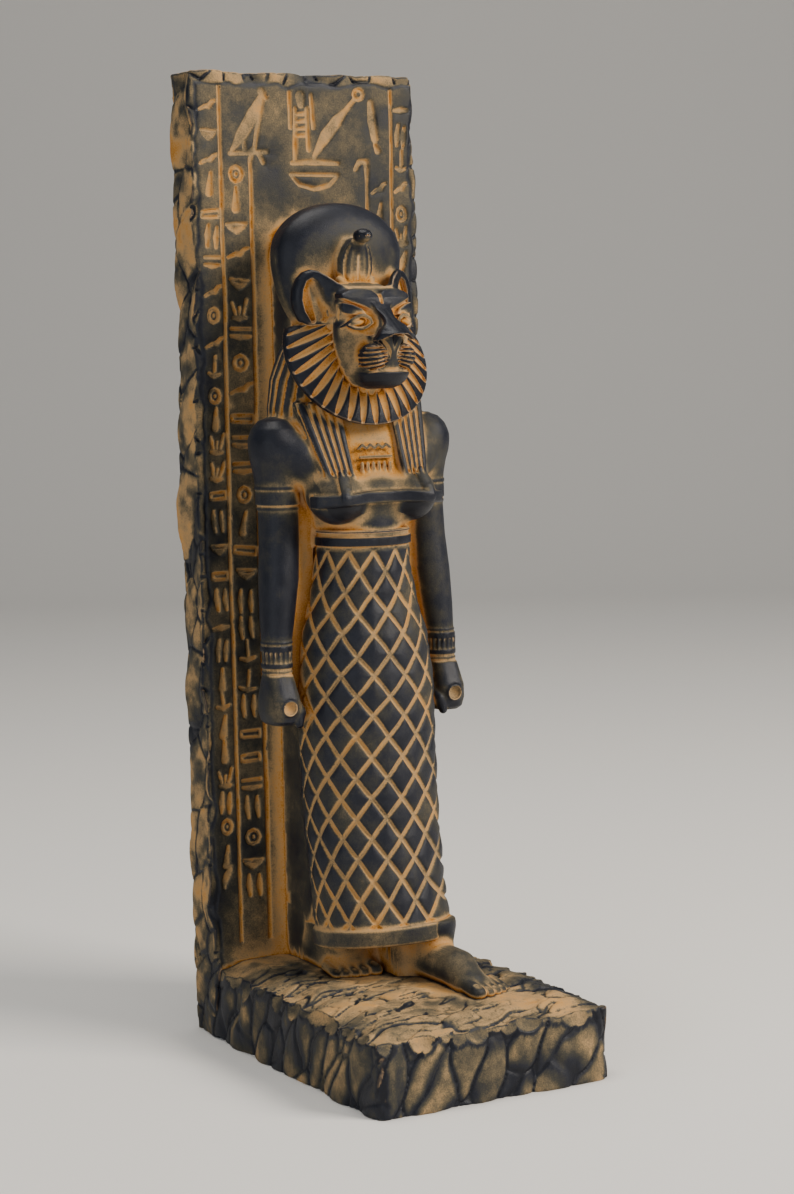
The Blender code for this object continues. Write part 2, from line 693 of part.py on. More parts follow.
def main():
    """Build the block, carve it, and join the figure to it."""
    clear_scene()
    statue = combine(slab(), [base()], "UNION")
    combine(statue, inscription(), "DIFFERENCE")
    figure = combine(torso(), [web(), *skirt(), *bust(), *pectoral(), *wig()], "UNION")
    combine(figure, arm(-1) + arm(1), "UNION")
    head = combine(skull(), [*muzzle(), *brows_and_eyes(), ear(-1), ear(1), collar()], "UNION")
    combine(head, whisker_cuts(), "DIFFERENCE")
    combine(statue, [pillar(), disc(), *cobra(), figure, head, *feet()], "UNION")
    finish(statue)


main()
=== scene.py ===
"""Dresses the cast-stone lioness goddess: modelled clay pieces, patina and studio.

Each part of the casting is modelled in a block of clay, which is a grid of signed
distances in millimetres. Tools add forms to the clay and cut them away. The skin of the
clay becomes a mesh, and its hollows and edges are measured for the patina.
"""

import json
import logging
from dataclasses import dataclass, field
from enum import Enum
from math import cos, pi, radians, sin
from typing import Callable

import bmesh
import bpy
import numpy as np
from mathutils import Matrix, Vector

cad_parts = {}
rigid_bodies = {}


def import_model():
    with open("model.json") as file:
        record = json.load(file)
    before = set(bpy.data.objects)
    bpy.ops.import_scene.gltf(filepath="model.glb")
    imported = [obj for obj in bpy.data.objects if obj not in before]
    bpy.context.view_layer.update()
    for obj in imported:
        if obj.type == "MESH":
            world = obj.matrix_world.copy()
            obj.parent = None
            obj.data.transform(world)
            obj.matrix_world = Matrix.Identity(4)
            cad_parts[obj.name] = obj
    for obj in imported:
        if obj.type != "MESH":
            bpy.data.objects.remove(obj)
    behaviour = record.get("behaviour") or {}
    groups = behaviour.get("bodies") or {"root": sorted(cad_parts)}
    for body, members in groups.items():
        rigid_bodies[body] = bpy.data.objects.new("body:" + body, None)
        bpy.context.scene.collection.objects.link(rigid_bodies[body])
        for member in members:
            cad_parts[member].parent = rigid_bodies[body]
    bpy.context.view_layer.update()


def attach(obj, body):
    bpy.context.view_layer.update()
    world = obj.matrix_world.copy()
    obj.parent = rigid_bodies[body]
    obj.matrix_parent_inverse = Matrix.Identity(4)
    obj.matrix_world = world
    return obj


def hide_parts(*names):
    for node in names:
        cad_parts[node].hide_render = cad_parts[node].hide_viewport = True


LOG = logging.getLogger("statue")

Array = np.ndarray
Point = tuple[float, float, float]
Distance = Callable[[Array, Array, Array], Array]

MM = 0.001
NODE = "sekhmet_statue"

# The distance that stands for nothing near
FAR = 12.0

# The casting's main sizes, the same as the solid's
HALF = 44.6
BACK = 69.0
FRONT = -69.0
SLAB_FACE = 52.5
TOP = 349.4

# How far forward and back a plate can reach
PLATE_REACH = (-20.0, 40.0)


# Numbers and noise


def ramp(value: Array, low: float, high: float) -> Array:
    """Rise smoothly from 0 at low to 1 at high."""
    share = np.clip((value - low) / (high - low), 0.0, 1.0)
    return share * share * (3.0 - 2.0 * share)


def soft_min(a: Array, b: Array, blend: float) -> Array:
    """Take the smaller of two distances with a fillet of the blend's size."""
    if blend <= 0.0:
        return np.minimum(a, b)
    share = np.clip(0.5 + 0.5 * (b - a) / blend, 0.0, 1.0)
    return b + (a - b) * share - blend * share * (1.0 - share)


def soft_max(a: Array, b: Array, blend: float) -> Array:
    """Take the larger of two distances with a fillet of the blend's size."""
    return -soft_min(-a, -b, blend)


class Noise:
    """Smooth seeded noise between -1 and 1, in two or three directions."""

    def __init__(self, seed: int) -> None:
        """Draw the random lattice from a seed."""
        self.lattice = np.random.default_rng(seed).uniform(-1.0, 1.0, 4096).astype(np.float32)

    def _at(self, i: Array, j: Array, k: Array) -> Array:
        """Look one lattice point up."""
        return self.lattice[(i * 73 + j * 719 + k * 2909) & 4095]

    def flat(self, u: Array, v: Array, size: float, octaves: int = 2) -> Array:
        """Give noise over a surface.

        Args:
            u: First coordinate in millimetres.
            v: Second coordinate in millimetres.
            size: Width of the largest waves in millimetres.
            octaves: How many times finer waves are added.

        Returns:
            The noise at each place.
        """
        total = np.zeros(np.broadcast(u, v).shape, np.float32)
        strength = 1.0
        for octave in range(octaves):
            a, b = u / size, v / size
            i, j = np.floor(a).astype(np.int64), np.floor(b).astype(np.int64)
            s, t = ramp(a - i, 0.0, 1.0), ramp(b - j, 0.0, 1.0)
            k = octave * 7
            low = self._at(i, j, k) * (1 - s) + self._at(i + 1, j, k) * s
            high = self._at(i, j + 1, k) * (1 - s) + self._at(i + 1, j + 1, k) * s
            total = total + strength * (low * (1 - t) + high * t)
            strength *= 0.5
            size *= 0.47
        return total

    def solid(self, points: Array, size: float, octaves: int = 2) -> Array:
        """Give noise at points in space.

        Args:
            points: Rows of x, y, z in millimetres.
            size: Width of the largest waves in millimetres.
            octaves: How many times finer waves are added.

        Returns:
            The noise at each point.
        """
        total = np.zeros(len(points), np.float32)
        strength = 1.0
        for _ in range(octaves):
            scaled = points / size
            base = np.floor(scaled).astype(np.int64)
            part = ramp(scaled - base, 0.0, 1.0)
            value = np.zeros(len(points), np.float32)
            for corner in range(8):
                step = np.array([corner & 1, corner >> 1 & 1, corner >> 2 & 1])
                weight = np.prod(np.where(step, part, 1.0 - part), axis=1)
                i, j, k = (base + step).T
                value += weight * self._at(i, j, k)
            total += strength * value
            strength *= 0.5
            size *= 0.47
        return total


def read_grid(grid: Array, place: Array) -> Array:
    """Read a grid of numbers between its points.

    Args:
        grid: The numbers.
        place: Rows of places, counted in steps of the grid.

    Returns:
        The number at each place.
    """
    base = place.astype(np.int64)
    part = (place - base).astype(np.float32)
    value = np.zeros(len(place), np.float32)
    for corner in range(8):
        step = np.array([corner & 1, corner >> 1 & 1, corner >> 2 & 1])
        weight = np.prod(np.where(step, part, 1.0 - part), axis=1)
        i, j, k = (base + step).T
        value += weight * grid[i, j, k]
    return value


@dataclass(frozen=True)
class Scales:
    """Overlapping rounded scales with sharp valleys between, as on hewn stone."""

    wide: float
    tall: float
    seed: int
    round: float = 1.0
    tilt: float = 0.5
    uneven: float = 0.4
    lean: float = 0.0

    def relief(self, u: Array, v: Array) -> tuple[Array, Array, Array]:
        """Find the relief over a surface.

        Args:
            u: First coordinate in millimetres.
            v: Second coordinate in millimetres.

        Returns:
            The height of the scales, how far each place lies from a valley, and each scale's
            own number from -1 to 1.
        """
        lattice = np.random.default_rng(self.seed).uniform(-1.0, 1.0, (4096, 5))
        a, b = (u + self.lean * v) / self.wide, v / self.tall
        i, j = np.floor(a).astype(np.int64), np.floor(b).astype(np.int64)
        shape = np.broadcast(a, b).shape
        best, second = np.full(shape, -99.0, np.float32), np.full(shape, -99.0, np.float32)
        tone = np.zeros(shape, np.float32)
        for di in (-1, 0, 1):
            for dj in (-1, 0, 1):
                dice = lattice[((i + di) * 73 + (j + dj) * 719) & 4095]
                du = a - (i + di) - 0.5 - 0.36 * dice[..., 0]
                dv = b - (j + dj) - 0.5 - 0.36 * dice[..., 1]
                height = (self.uneven * dice[..., 2] + self.tilt * (dice[..., 3] * du + dice[..., 4] * dv)
                          - self.round * (du * du + dv * dv))
                tone = np.where(height > best, dice[..., 2], tone)
                second = np.maximum(second, np.minimum(best, height))
                best = np.maximum(best, height)
        return best, best - second, tone


# Clay and the forms that are pressed into it


@dataclass(frozen=True)
class Form:
    """A solid form: a signed distance and the box that holds it."""

    low: Point
    high: Point
    distance: Distance


def ball(middle: Point, radii: Point, mirrored: bool = False, turn: float = 0.0) -> Form:
    """Make an ellipsoid.

    Args:
        middle: Its middle.
        radii: Its three half sizes.
        mirrored: Whether it also stands on the other side of x = 0.
        turn: Turn about the y axis in degrees, positive lifts the outer end.

    Returns:
        The form.
    """
    c, s = cos(radians(turn)), sin(radians(turn))

    def distance(x: Array, y: Array, z: Array) -> Array:
        """Measure to the ellipsoid."""
        dx = (np.abs(x) if mirrored else x) - middle[0]
        dy = y - middle[1]
        dz = z - middle[2]
        u, w = dx * c + dz * s, dz * c - dx * s
        a, b, e = u / radii[0], dy / radii[1], w / radii[2]
        k0 = np.sqrt(a * a + b * b + e * e)
        k1 = np.sqrt((a / radii[0]) ** 2 + (b / radii[1]) ** 2 + (e / radii[2]) ** 2) + 1e-6
        return k0 * (k0 - 1.0) / k1

    reach = max(radii[0], radii[2]) if turn else radii[0]
    rise = max(radii[0], radii[2]) if turn else radii[2]
    left = -(abs(middle[0]) + reach) if mirrored else middle[0] - reach
    return Form((left, middle[1] - radii[1], middle[2] - rise),
                (middle[0] + reach, middle[1] + radii[1], middle[2] + rise), distance)


def cord(points: list[Point], radii: list[float], mirrored: bool = False,
         flat: float = 1.0) -> Form:
    """Make a round bar along a chain of points.

    Args:
        points: The chain.
        radii: Its radius at each point.
        mirrored: Whether it also stands on the other side of x = 0.
        flat: How much thinner the bar is along y than across.

    Returns:
        The form.
    """

    def distance(x: Array, y: Array, z: Array) -> Array:
        """Measure to the nearest stretch of the chain."""
        ax = np.abs(x) if mirrored else x
        best = None
        for (p, q), (r0, r1) in zip(zip(points, points[1:]), zip(radii, radii[1:])):
            d = [q[i] - p[i] for i in range(3)]
            length = sum(v * v for v in d) + 1e-9
            px, py, pz = ax - p[0], y - p[1], z - p[2]
            t = np.clip((px * d[0] + py * d[1] + pz * d[2]) / length, 0.0, 1.0)
            gap = np.sqrt((px - t * d[0]) ** 2 + ((py - t * d[1]) / flat) ** 2
                          + (pz - t * d[2]) ** 2) - (r0 + (r1 - r0) * t)
            best = gap if best is None else np.minimum(best, gap)
        return best

    grow = max(radii)
    low = [min(p[i] for p in points) - grow for i in range(3)]
    high = [max(p[i] for p in points) + grow for i in range(3)]
    if mirrored:
        low[0] = -high[0]
    return Form(tuple(low), tuple(high), distance)


def stack(stations: list[tuple[float, ...]], mirrored: bool = False, power: float = 2.0) -> Form:
    """Make an upright form from level oval sections.

    Args:
        stations: Height, middle x, middle y, half width and half depth of each section.
        mirrored: Whether it also stands on the other side of x = 0.
        power: 2 for ovals, more for squarer sections.

    Returns:
        The form.
    """
    table = np.array(sorted(stations), np.float32)

    def distance(x: Array, y: Array, z: Array) -> Array:
        """Measure to the section at the same height, and to the two ends."""
        ax = np.abs(x) if mirrored else x
        heights, shape = z.ravel(), z.shape
        cx, cy, rx, ry = (np.interp(heights, table[:, 0], table[:, i]).reshape(shape)
                          .astype(np.float32) for i in range(1, 5))
        a, b = np.abs((ax - cx) / rx), np.abs((y - cy) / ry)
        if power == 2.0:
            k0 = np.sqrt(a * a + b * b)
        else:
            k0 = (a ** power + b ** power) ** (1.0 / power)
        k1 = np.sqrt((a / rx) ** 2 + (b / ry) ** 2) + 1e-6
        side = k0 * (k0 - 1.0) / k1
        return np.maximum(side, np.maximum(table[0, 0] - z, z - table[-1, 0]))

    right = float((table[:, 1] + table[:, 3]).max())
    left = -right if mirrored else float((table[:, 1] - table[:, 3]).min())
    return Form((left, float((table[:, 2] - table[:, 4]).min()), float(table[0, 0])),
                (right, float((table[:, 2] + table[:, 4]).max()), float(table[-1, 0])), distance)


def polygon_gap(outline: list[tuple[float, float]], u: Array, v: Array) -> Array:
    """Measure to a flat outline, less than 0 inside.

    Args:
        outline: Its corners in order.
        u: First coordinates.
        v: Second coordinates.

    Returns:
        The signed distances.
    """
    best = np.full(np.broadcast(u, v).shape, 1e9, np.float32)
    inside = np.zeros(best.shape, bool)
    for (u0, v0), (u1, v1) in zip(outline, outline[1:] + outline[:1]):
        du, dv = u1 - u0, v1 - v0
        t = np.clip(((u - u0) * du + (v - v0) * dv) / (du * du + dv * dv + 1e-12), 0.0, 1.0)
        best = np.minimum(best, (u - u0 - t * du) ** 2 + (v - v0 - t * dv) ** 2)
        crosses = (v0 > v) != (v1 > v)
        inside ^= crosses & (u < (v - v0) / (dv + 1e-12) * du + u0)
    return np.where(inside, -1.0, 1.0) * np.sqrt(best)


def chain_gap(chain: tuple[Point, ...], u: Array, v: Array) -> Array:
    """Measure to a flat chain, less than 0 inside it.

    Args:
        chain: Its points: u, v and half width.
        u: First coordinates.
        v: Second coordinates.

    Returns:
        The signed distances.
    """
    best = np.full(np.broadcast(u, v).shape, FAR, np.float32)
    for (u0, v0, r0), (u1, v1, r1) in zip(chain, chain[1:]):
        du, dv = u1 - u0, v1 - v0
        t = np.clip(((u - u0) * du + (v - v0) * dv) / (du * du + dv * dv + 1e-9), 0.0, 1.0)
        best = np.minimum(best, np.hypot(u - u0 - t * du, v - v0 - t * dv) - r0 - (r1 - r0) * t)
    return best


def plate(outline: list[tuple[float, float]], front: Callable[[Array, Array], Array], thick: float,
          rounding: float = 0.4, mirrored: bool = False) -> Form:
    """Make a plate with an outline in x and z and a shaped front.

    Args:
        outline: Its corners.
        front: Gives the depth y of its front at each x and z.
        thick: How far it goes back from the front.
        rounding: How much its edges are rounded.
        mirrored: Whether it also stands on the other side of x = 0.

    Returns:
        The form.
    """

    def distance(x: Array, y: Array, z: Array) -> Array:
        """Measure to the outline and to the two faces."""
        ax = np.abs(x) if mirrored else x
        side = polygon_gap(outline, ax, z)
        face = front(ax, z)
        return soft_max(side, np.maximum(face - y, y - face - thick), rounding)

    us, vs = [p[0] for p in outline], [p[1] for p in outline]
    left = -max(us) if mirrored else min(us)
    return Form((left, PLATE_REACH[0], min(vs)), (max(us), PLATE_REACH[1], max(vs)), distance)


class Clay:
    """A block of clay: signed distances on a grid, less than 0 inside.

    The margins are how far round a form, in millimetres, the grid is worked on.
    """

    add_margin = 4.0
    cut_margin = 1.0

    def __init__(self, low: Point, high: Point, step: float) -> None:
        """Lay the empty grid out.

        Args:
            low: Lowest corner in millimetres.
            high: Highest corner in millimetres.
            step: Distance between grid points in millimetres.
        """
        self.low = np.array(low, np.float32)
        self.step = step
        self.axes = [np.arange(a, b + step, step, dtype=np.float32) for a, b in zip(low, high)]
        self.field = np.full([len(axis) for axis in self.axes], FAR, np.float32)

    def _window(self, form: Form, margin: float) -> tuple[tuple[slice, ...], list[Array]] | None:
        """Find the grid points near a form.

        Args:
            form: The form.
            margin: How far round it the grid points are taken.

        Returns:
            The slices of the field and the coordinates, or None where it misses the grid.
        """
        cuts = []
        for axis, low, high in zip(self.axes, form.low, form.high):
            start, stop = np.searchsorted(axis, (low - margin, high + margin))
            if start >= stop:
                return None
            cuts.append(slice(int(start), int(stop)))
        x, y, z = (axis[cut] for axis, cut in zip(self.axes, cuts))
        return tuple(cuts), [x[:, None, None], y[None, :, None], z[None, None, :]]

    def add(self, form: Form, blend: float = 0.0) -> None:
        """Join a form to the clay with a fillet of the blend's size."""
        found = self._window(form, self.add_margin + blend)
        if found:
            cuts, place = found
            self.field[cuts] = soft_min(self.field[cuts], form.distance(*place), blend)

    def cut(self, form: Form, blend: float = 0.0) -> None:
        """Cut a form out of the clay, rounding the new edge by the blend's size."""
        found = self._window(form, self.cut_margin + blend)
        if found:
            cuts, place = found
            self.field[cuts] = soft_max(self.field[cuts], -form.distance(*place), blend)

    def swell(self, form: Form) -> None:
        """Raise the skin in a form's box by what its distance gives, or sink it where that is negative."""
        found = self._window(form, 0.0)
        if found:
            cuts, place = found
            self.field[cuts] -= form.distance(*place)

    def sample(self, points: Array) -> Array:
        """Read the distance at points, FAR outside the block."""
        place = (points - self.low) / self.step
        limit = np.array(self.field.shape) - 1.001
        inside = np.all((place >= 0.0) & (place <= limit), axis=1)
        return np.where(inside, read_grid(self.field, np.clip(place, 0.0, limit)), FAR)

    def skin(self) -> tuple[Array, Array]:
        """Find the surface where the distance is 0.

        Returns:
            The vertices in millimetres and the four-cornered faces, facing outward.
        """
        edge = np.pad(self.field, 1, constant_values=1.0)
        inside = edge < 0.0
        cells = np.zeros([n - 1 for n in edge.shape], np.uint8)
        for corner in range(8):
            a, b, c = corner & 1, corner >> 1 & 1, corner >> 2 & 1
            cells += inside[a:a + cells.shape[0], b:b + cells.shape[1], c:c + cells.shape[2]]
        active = np.flatnonzero((cells > 0) & (cells < 8))
        number = np.full(cells.size, -1, np.int32)
        number[active] = np.arange(len(active), dtype=np.int32)
        base = np.stack(np.unravel_index(active, cells.shape), axis=1)
        total, hits = np.zeros((len(active), 3), np.float32), np.zeros(len(active), np.float32)
        for axis in range(3):
            others = [i for i in range(3) if i != axis]
            for shift in range(4):
                start = base.copy()
                start[:, others[0]] += shift & 1
                start[:, others[1]] += shift >> 1
                stop = start.copy()
                stop[:, axis] += 1
                a, b = edge[tuple(start.T)], edge[tuple(stop.T)]
                crossing = (a < 0.0) != (b < 0.0)
                share = np.where(crossing, a / np.where(crossing, a - b, 1.0), 0.0)
                spot = start.astype(np.float32)
                spot[:, axis] += share
                total += spot * crossing[:, None]
                hits += crossing
        points = total / hits[:, None]
        points = (points - 1.0) * self.step + self.low
        faces = []
        for axis in range(3):
            u, v = (axis + 1) % 3, (axis + 2) % 3
            near = [slice(0, -1) if i == axis else slice(1, -1) for i in range(3)]
            far = [slice(1, None) if i == axis else slice(1, -1) for i in range(3)]
            first, second = inside[tuple(near)], inside[tuple(far)]
            for flip, mask in ((False, first & ~second), (True, ~first & second)):
                at = np.stack(np.nonzero(mask), axis=1)
                at[:, u] += 1
                at[:, v] += 1
                ring = []
                for du, dv in ((0, 0), (-1, 0), (-1, -1), (0, -1)):
                    spot = at.copy()
                    spot[:, u] += du
                    spot[:, v] += dv
                    ring.append(number[np.ravel_multi_index(tuple(spot.T), cells.shape)])
                quad = np.stack(ring, axis=1)
                faces.append(quad[:, ::-1] if flip else quad)
        return points, np.concatenate(faces)


# The patina's measures, kept on each vertex


class Patina:
    """Measures hollows and edges of the whole casting, where pigment stays or wears off.

    Lengths are in millimetres. Above the soaked level the stone takes up only half the wash.
    """

    cell = 1.5
    box = (120.0, 168.0, 381.0)
    corner = (-60.0, -84.0, -15.0)
    fine_reach = 0.8
    middle_reach = 2.0
    edge_reach = 0.9
    soaked = 0.72

    def __init__(self, clays: list[Clay]) -> None:
        """Remember every block of clay, and spread its mass out for the widest hollows."""
        self.clays = clays
        self.noise = Noise(77)
        self.low = np.array(self.corner, np.float32)
        self.crowd = self._spread()

    def _spread(self) -> Array:
        """Blur the casting's mass, so that a place shut in by it reads high."""
        count = [int(length / self.cell) for length in self.box]
        mass = np.zeros(count, np.float32)
        for clay in self.clays:
            cuts, picks = [], []
            for axis, low in zip(clay.axes, self.low):
                start = int(np.ceil((axis[0] - low) / self.cell))
                stop = int((axis[-1] - low) / self.cell) + 1
                cuts.append(slice(start, stop))
                places = low + self.cell * np.arange(start, stop)
                picks.append(np.clip(np.rint((places - axis[0]) / clay.step), 0, len(axis) - 1).astype(int))
            solid = clay.field[np.ix_(*picks)] < 0.0
            part = mass[tuple(cuts)]
            part[solid] = 1.0
        for _ in range(3):
            for axis in range(3):
                total = mass.copy()
                for shift in (-2, -1, 1, 2):
                    total += np.roll(mass, shift, axis)
                mass = total / 5.0
        return mass

    def gap(self, points: Array) -> Array:
        """Measure from points to the nearest part of the casting."""
        best = np.full(len(points), FAR, np.float32)
        for clay in self.clays:
            best = np.minimum(best, clay.sample(points))
        return best

    def hollow(self, points: Array, normals: Array, reach: float) -> Array:
        """Say how shut in a place is, 0 in the open and 1 deep in a crease of the reach's size."""
        return np.clip(1.0 - self.gap(points + normals * reach) / reach, 0.0, 1.3)

    def proud(self, points: Array, normals: Array, reach: float) -> Array:
        """Say how exposed an edge is, 0 on flat or hollow places and 1 on a sharp edge."""
        return np.clip(1.0 + self.gap(points - normals * reach) / reach, 0.0, 1.0)

    def measure(self, mesh: bpy.types.Mesh, maker: "Maker") -> None:
        """Store how much pigment each vertex keeps and how far it is polished.

        Args:
            mesh: The mesh, in metres.
            maker: The piece's maker, which knows where pigment was put on by hand.
        """
        count = len(mesh.vertices)
        points = np.empty(count * 3, np.float32)
        mesh.vertices.foreach_get("co", points)
        points = points.reshape(-1, 3) / MM
        normals = np.empty(count * 3, np.float32)
        mesh.vertex_normals.foreach_get("vector", normals)
        normals = normals.reshape(-1, 3)
        fine = self.hollow(points, normals, self.fine_reach)
        middle = self.hollow(points, normals, self.middle_reach)
        edge = self.proud(points, normals, self.edge_reach)
        crowd = read_grid(self.crowd, (points - self.low) / self.cell) - 0.5
        drift = self.noise.solid(points, 14.0, 3)
        extra, brushed = maker.pigment(points, normals)
        washed = 0.42 * fine + 0.50 * middle
        washed = washed + 1.5 * np.clip(crowd, 0.0, 0.5) - 0.35 * np.clip(-crowd, 0.0, 0.3)
        washed = washed + 0.17 + 0.10 * drift - 0.12 * edge
        rubbed = 0.44 - 0.70 * fine - 0.50 * middle + 0.20 * edge + 0.15 * drift
        level = washed * (1.0 - brushed) + rubbed * brushed + extra
        level = level - 0.5 * np.clip(level - self.soaked, 0.0, 9.0)
        polish = np.clip(-3.0 * crowd, 0.0, 1.0) * (1.0 - brushed)
        # Share of pale peach mixed in along sharp edges beside hollows.
        rim_share = edge * np.clip(fine + middle, 0, 1)
        for name, value in (("pigment", level), ("polish", polish), ("edge", rim_share)):
            layer = mesh.attributes.new(name, "FLOAT", "POINT")
            layer.data.foreach_set("value", value.astype(np.float32))


class Maker:
    """What makes one piece: its clay and the pigment put on it by hand."""

    def clay(self) -> Clay:
        """Model the piece."""
        raise NotImplementedError

    def pigment(self, points: Array, normals: Array) -> tuple[Array, Array]:
        """Say where pigment was added, and where it was brushed over dry.

        Args:
            points: Places on the skin in millimetres.
            normals: The skin's directions there.

        Returns:
            Extra pigment, and the share of dry brushing from 0 to 1.
        """
        none = np.zeros(len(points), np.float32)
        return none, none


def make_mesh(name: str, points: Array, faces: Array, limit: int) -> bpy.types.Object:
    """Turn the clay's skin into a closed mesh object in metres.

    Args:
        name: The piece's name.
        points: Vertices in millimetres.
        faces: Four-cornered faces.
        limit: Most triangles it may have.

    Returns:
        The object.
    """
    mesh = bpy.data.meshes.new(name)
    mesh.vertices.add(len(points))
    mesh.vertices.foreach_set("co", (points * MM).astype(np.float32).ravel())
    mesh.loops.add(faces.size)
    mesh.loops.foreach_set("vertex_index", faces.astype(np.int32).ravel())
    mesh.polygons.add(len(faces))
    mesh.polygons.foreach_set("loop_start", np.arange(0, faces.size, 4, dtype=np.int32))
    mesh.update(calc_edges=True)
    piece = bpy.data.objects.new(name, mesh)
    bpy.context.scene.collection.objects.link(piece)
    if len(faces) * 2 > limit:
        tool = piece.modifiers.new("Fewer", "DECIMATE")
        tool.ratio = limit / (len(faces) * 2)
        graph = bpy.context.evaluated_depsgraph_get()
        lighter = bpy.data.meshes.new_from_object(piece.evaluated_get(graph))
        piece.modifiers.remove(tool)
        piece.data = lighter
        bpy.data.meshes.remove(mesh)
        lighter.name = name
    piece.data.shade_smooth()
    return piece


# The block: slab, base and pillar


@dataclass
class Slab(Maker):
    """The upright slab: ruled and carved face, flat back, broken edges."""

    rules: tuple[float, ...] = (-34.3, -22.5, 25.4, 35.8)
    rule_ends: tuple[tuple[float, float], ...] = ((34.0, 346.0), (34.0, 319.0), (34.0, 315.0), (34.0, 347.0))
    carve: float = 1.15
    step: float = 0.5
    noise: Noise = field(default_factory=lambda: Noise(3))
    side_scales: Scales = Scales(11.5, 17.0, 14, round=1.3, tilt=1.1, uneven=0.9, lean=0.35)
    chip_scales: Scales = Scales(5.0, 6.5, 8, round=1.2, tilt=0.9, uneven=0.9)
    edge_scales: Scales = Scales(7.0, 10.5, 23, round=1.5, tilt=0.5, uneven=0.8)

    def clay(self) -> Clay:
        """Model the slab."""
        clay = Clay((-50.5, 48.5, 0.0), (50.5, 71.0, 352.5), self.step)
        x, y, z = (a.reshape(s) for a, s in zip(clay.axes, ((-1, 1, 1), (1, -1, 1), (1, 1, -1))))
        self.dents = self._strokes(clay.axes[0][:, None], clay.axes[2][None, :])
        self.origin = (clay.axes[0][0], clay.axes[2][0])
        face = self._face(clay.axes[0][:, None], clay.axes[2][None, :])[:, None, :]
        left, right = (self._split(y[0] + start, z[0])[0][None] for start in (0.0, 200.0))
        top = self._split(x[:, :, 0], y[:, :, 0] + 90.0)[0][:, :, None]
        bulge = 0.9 * np.sin(np.clip(z / TOP, 0.0, 1.0) * pi)
        wave = self.noise.flat(z + 0.0 * y, y * 0.2 + 31.0, 34.0, 2) * 0.8
        side = np.where(x < 0, -x - wave - left, x + wave - right) - bulge - (HALF + 0.7)
        body = soft_max(side, z - (TOP + 0.2) - 0.6 * top, 0.9)
        rear = y - BACK - 0.5 - 0.5 * self.noise.flat(x + 0.0 * z, z * 0.7 + 500.0 + 0.0 * x, 16.0, 3)
        clay.field[:] = soft_max(body, np.maximum(face - y, rear), 1.1)
        return clay

    def pigment(self, points: Array, normals: Array) -> tuple[Array, Array]:
        """Fill the strokes, brush the broken edges and dust the face."""
        x, y, z = points.T
        i = np.clip(((x - self.origin[0]) / self.step).astype(int), 0, self.dents.shape[0] - 1)
        j = np.clip(((z - self.origin[1]) / self.step).astype(int), 0, self.dents.shape[1] - 1)
        facing = ramp(-normals[:, 1], 0.35, 0.7) * (y < 58.0)
        out = self._border(x, z)
        dent = self.dents[i, j] * (1.0 - ramp(out, -1.0, 0.5))
        foot = 1.0 - ramp(z, 26.0, 58.0)
        glow = np.exp(-np.clip(np.abs(x) - 16.5, 0.0, 60.0) / 2.4) * (1.0 - ramp(z, 262.0, 292.0))
        mottle = self.noise.flat(x, z, 9.0, 3)
        face = (0.16 + 0.08 * mottle) * dent + 0.145 + 0.09 * foot + 0.18 * glow + 0.03 * mottle
        ridge = ramp(out, 0.0, 1.0) * facing
        lump, gap, shade = self.edge_scales.relief(x, z)
        between = 0.7 * ridge * (1.0 - ramp(gap, 0.0, 0.2))
        crevice = np.maximum(0.6 * np.exp(-(out / 0.6) ** 2), between) * facing
        rear = ramp(normals[:, 1], 0.5, 0.9)
        height, margin, tone = self.side_scales.relief(y + 200.0 * (x > 0), z)
        side = (1.0 - facing) * (1.0 - rear)
        flake = 0.12 * height + 0.10 * tone - 0.34 * (1.0 - ramp(margin, 0.0, 0.16)) - 0.01
        flake = flake + 0.10 * self.noise.flat(y, z, 14.0, 2) + 0.16 * self.noise.flat(y, z, 4.0, 3)
        above = ramp(normals[:, 2], 0.4, 0.8) * (z > TOP - 6.0)
        flake = flake * (1.0 - above) + 0.10 * above
        lobes = 0.06 * shade + 0.10 * mottle + 0.04 * lump - 0.08
        extra = face * facing * (1.0 - ridge) + lobes * ridge - 0.30 * crevice
        trowelled = 0.06 * self.noise.flat(x, z * 0.7, 16.0, 4) - 0.03
        return extra + flake * side + trowelled * rear, np.clip(side + 0.9 * ridge, 0.0, 1.0)

    def _split(self, along: Array, z: Array) -> tuple[Array, Array]:
        """Give how far a split side stands out, and how far each place is from a crack."""
        warp = 1.6 * self.noise.flat(along, z, 13.0, 2)
        height, margin, _ = self.side_scales.relief(along + warp, z + warp)
        chips = self.chip_scales.relief(along - warp, z)[0]
        return 1.05 * height + 0.50 * chips - 0.40 * (1.0 - ramp(margin, 0.0, 0.14)), margin

    def _border(self, x: Array, z: Array) -> Array:
        """Give how far each place on the face lies beyond the carved field, into the broken edge."""
        field_edge = np.maximum(np.abs(x) - 43.6, z - (TOP - 4.0))
        return field_edge + 1.3 * self.noise.flat(x + 70.0, z, 7.0, 2)

    def _face(self, x: Array, z: Array) -> Array:
        """Give the depth y of the carved face at each x and z."""
        hand = self.noise.flat(x, z, 30.0, 3) * 0.28
        swell = 2.4 * np.exp(-np.clip(np.abs(x) - 16.5, 0.0, 99.0) / 1.6) * (1.0 - ramp(z, 270.0, 292.0))
        foot = 2.2 * np.exp(-np.clip(z - 28.0, 0.0, 99.0) / 2.2)
        out = self._border(x, z)
        lumps, gap, _ = self.edge_scales.relief(x, z)
        broken = ramp(out, 0.0, 1.6) * (0.7 - 1.3 * lumps + 0.9 * (1.0 - ramp(gap, 0.0, 0.3)))
        broken = broken + 0.5 * np.exp(-(out / 0.6) ** 2)
        carved = self.dents * self.carve * (1.0 - ramp(out, -1.0, 0.5))
        return SLAB_FACE - hand - swell - foot + broken + carved

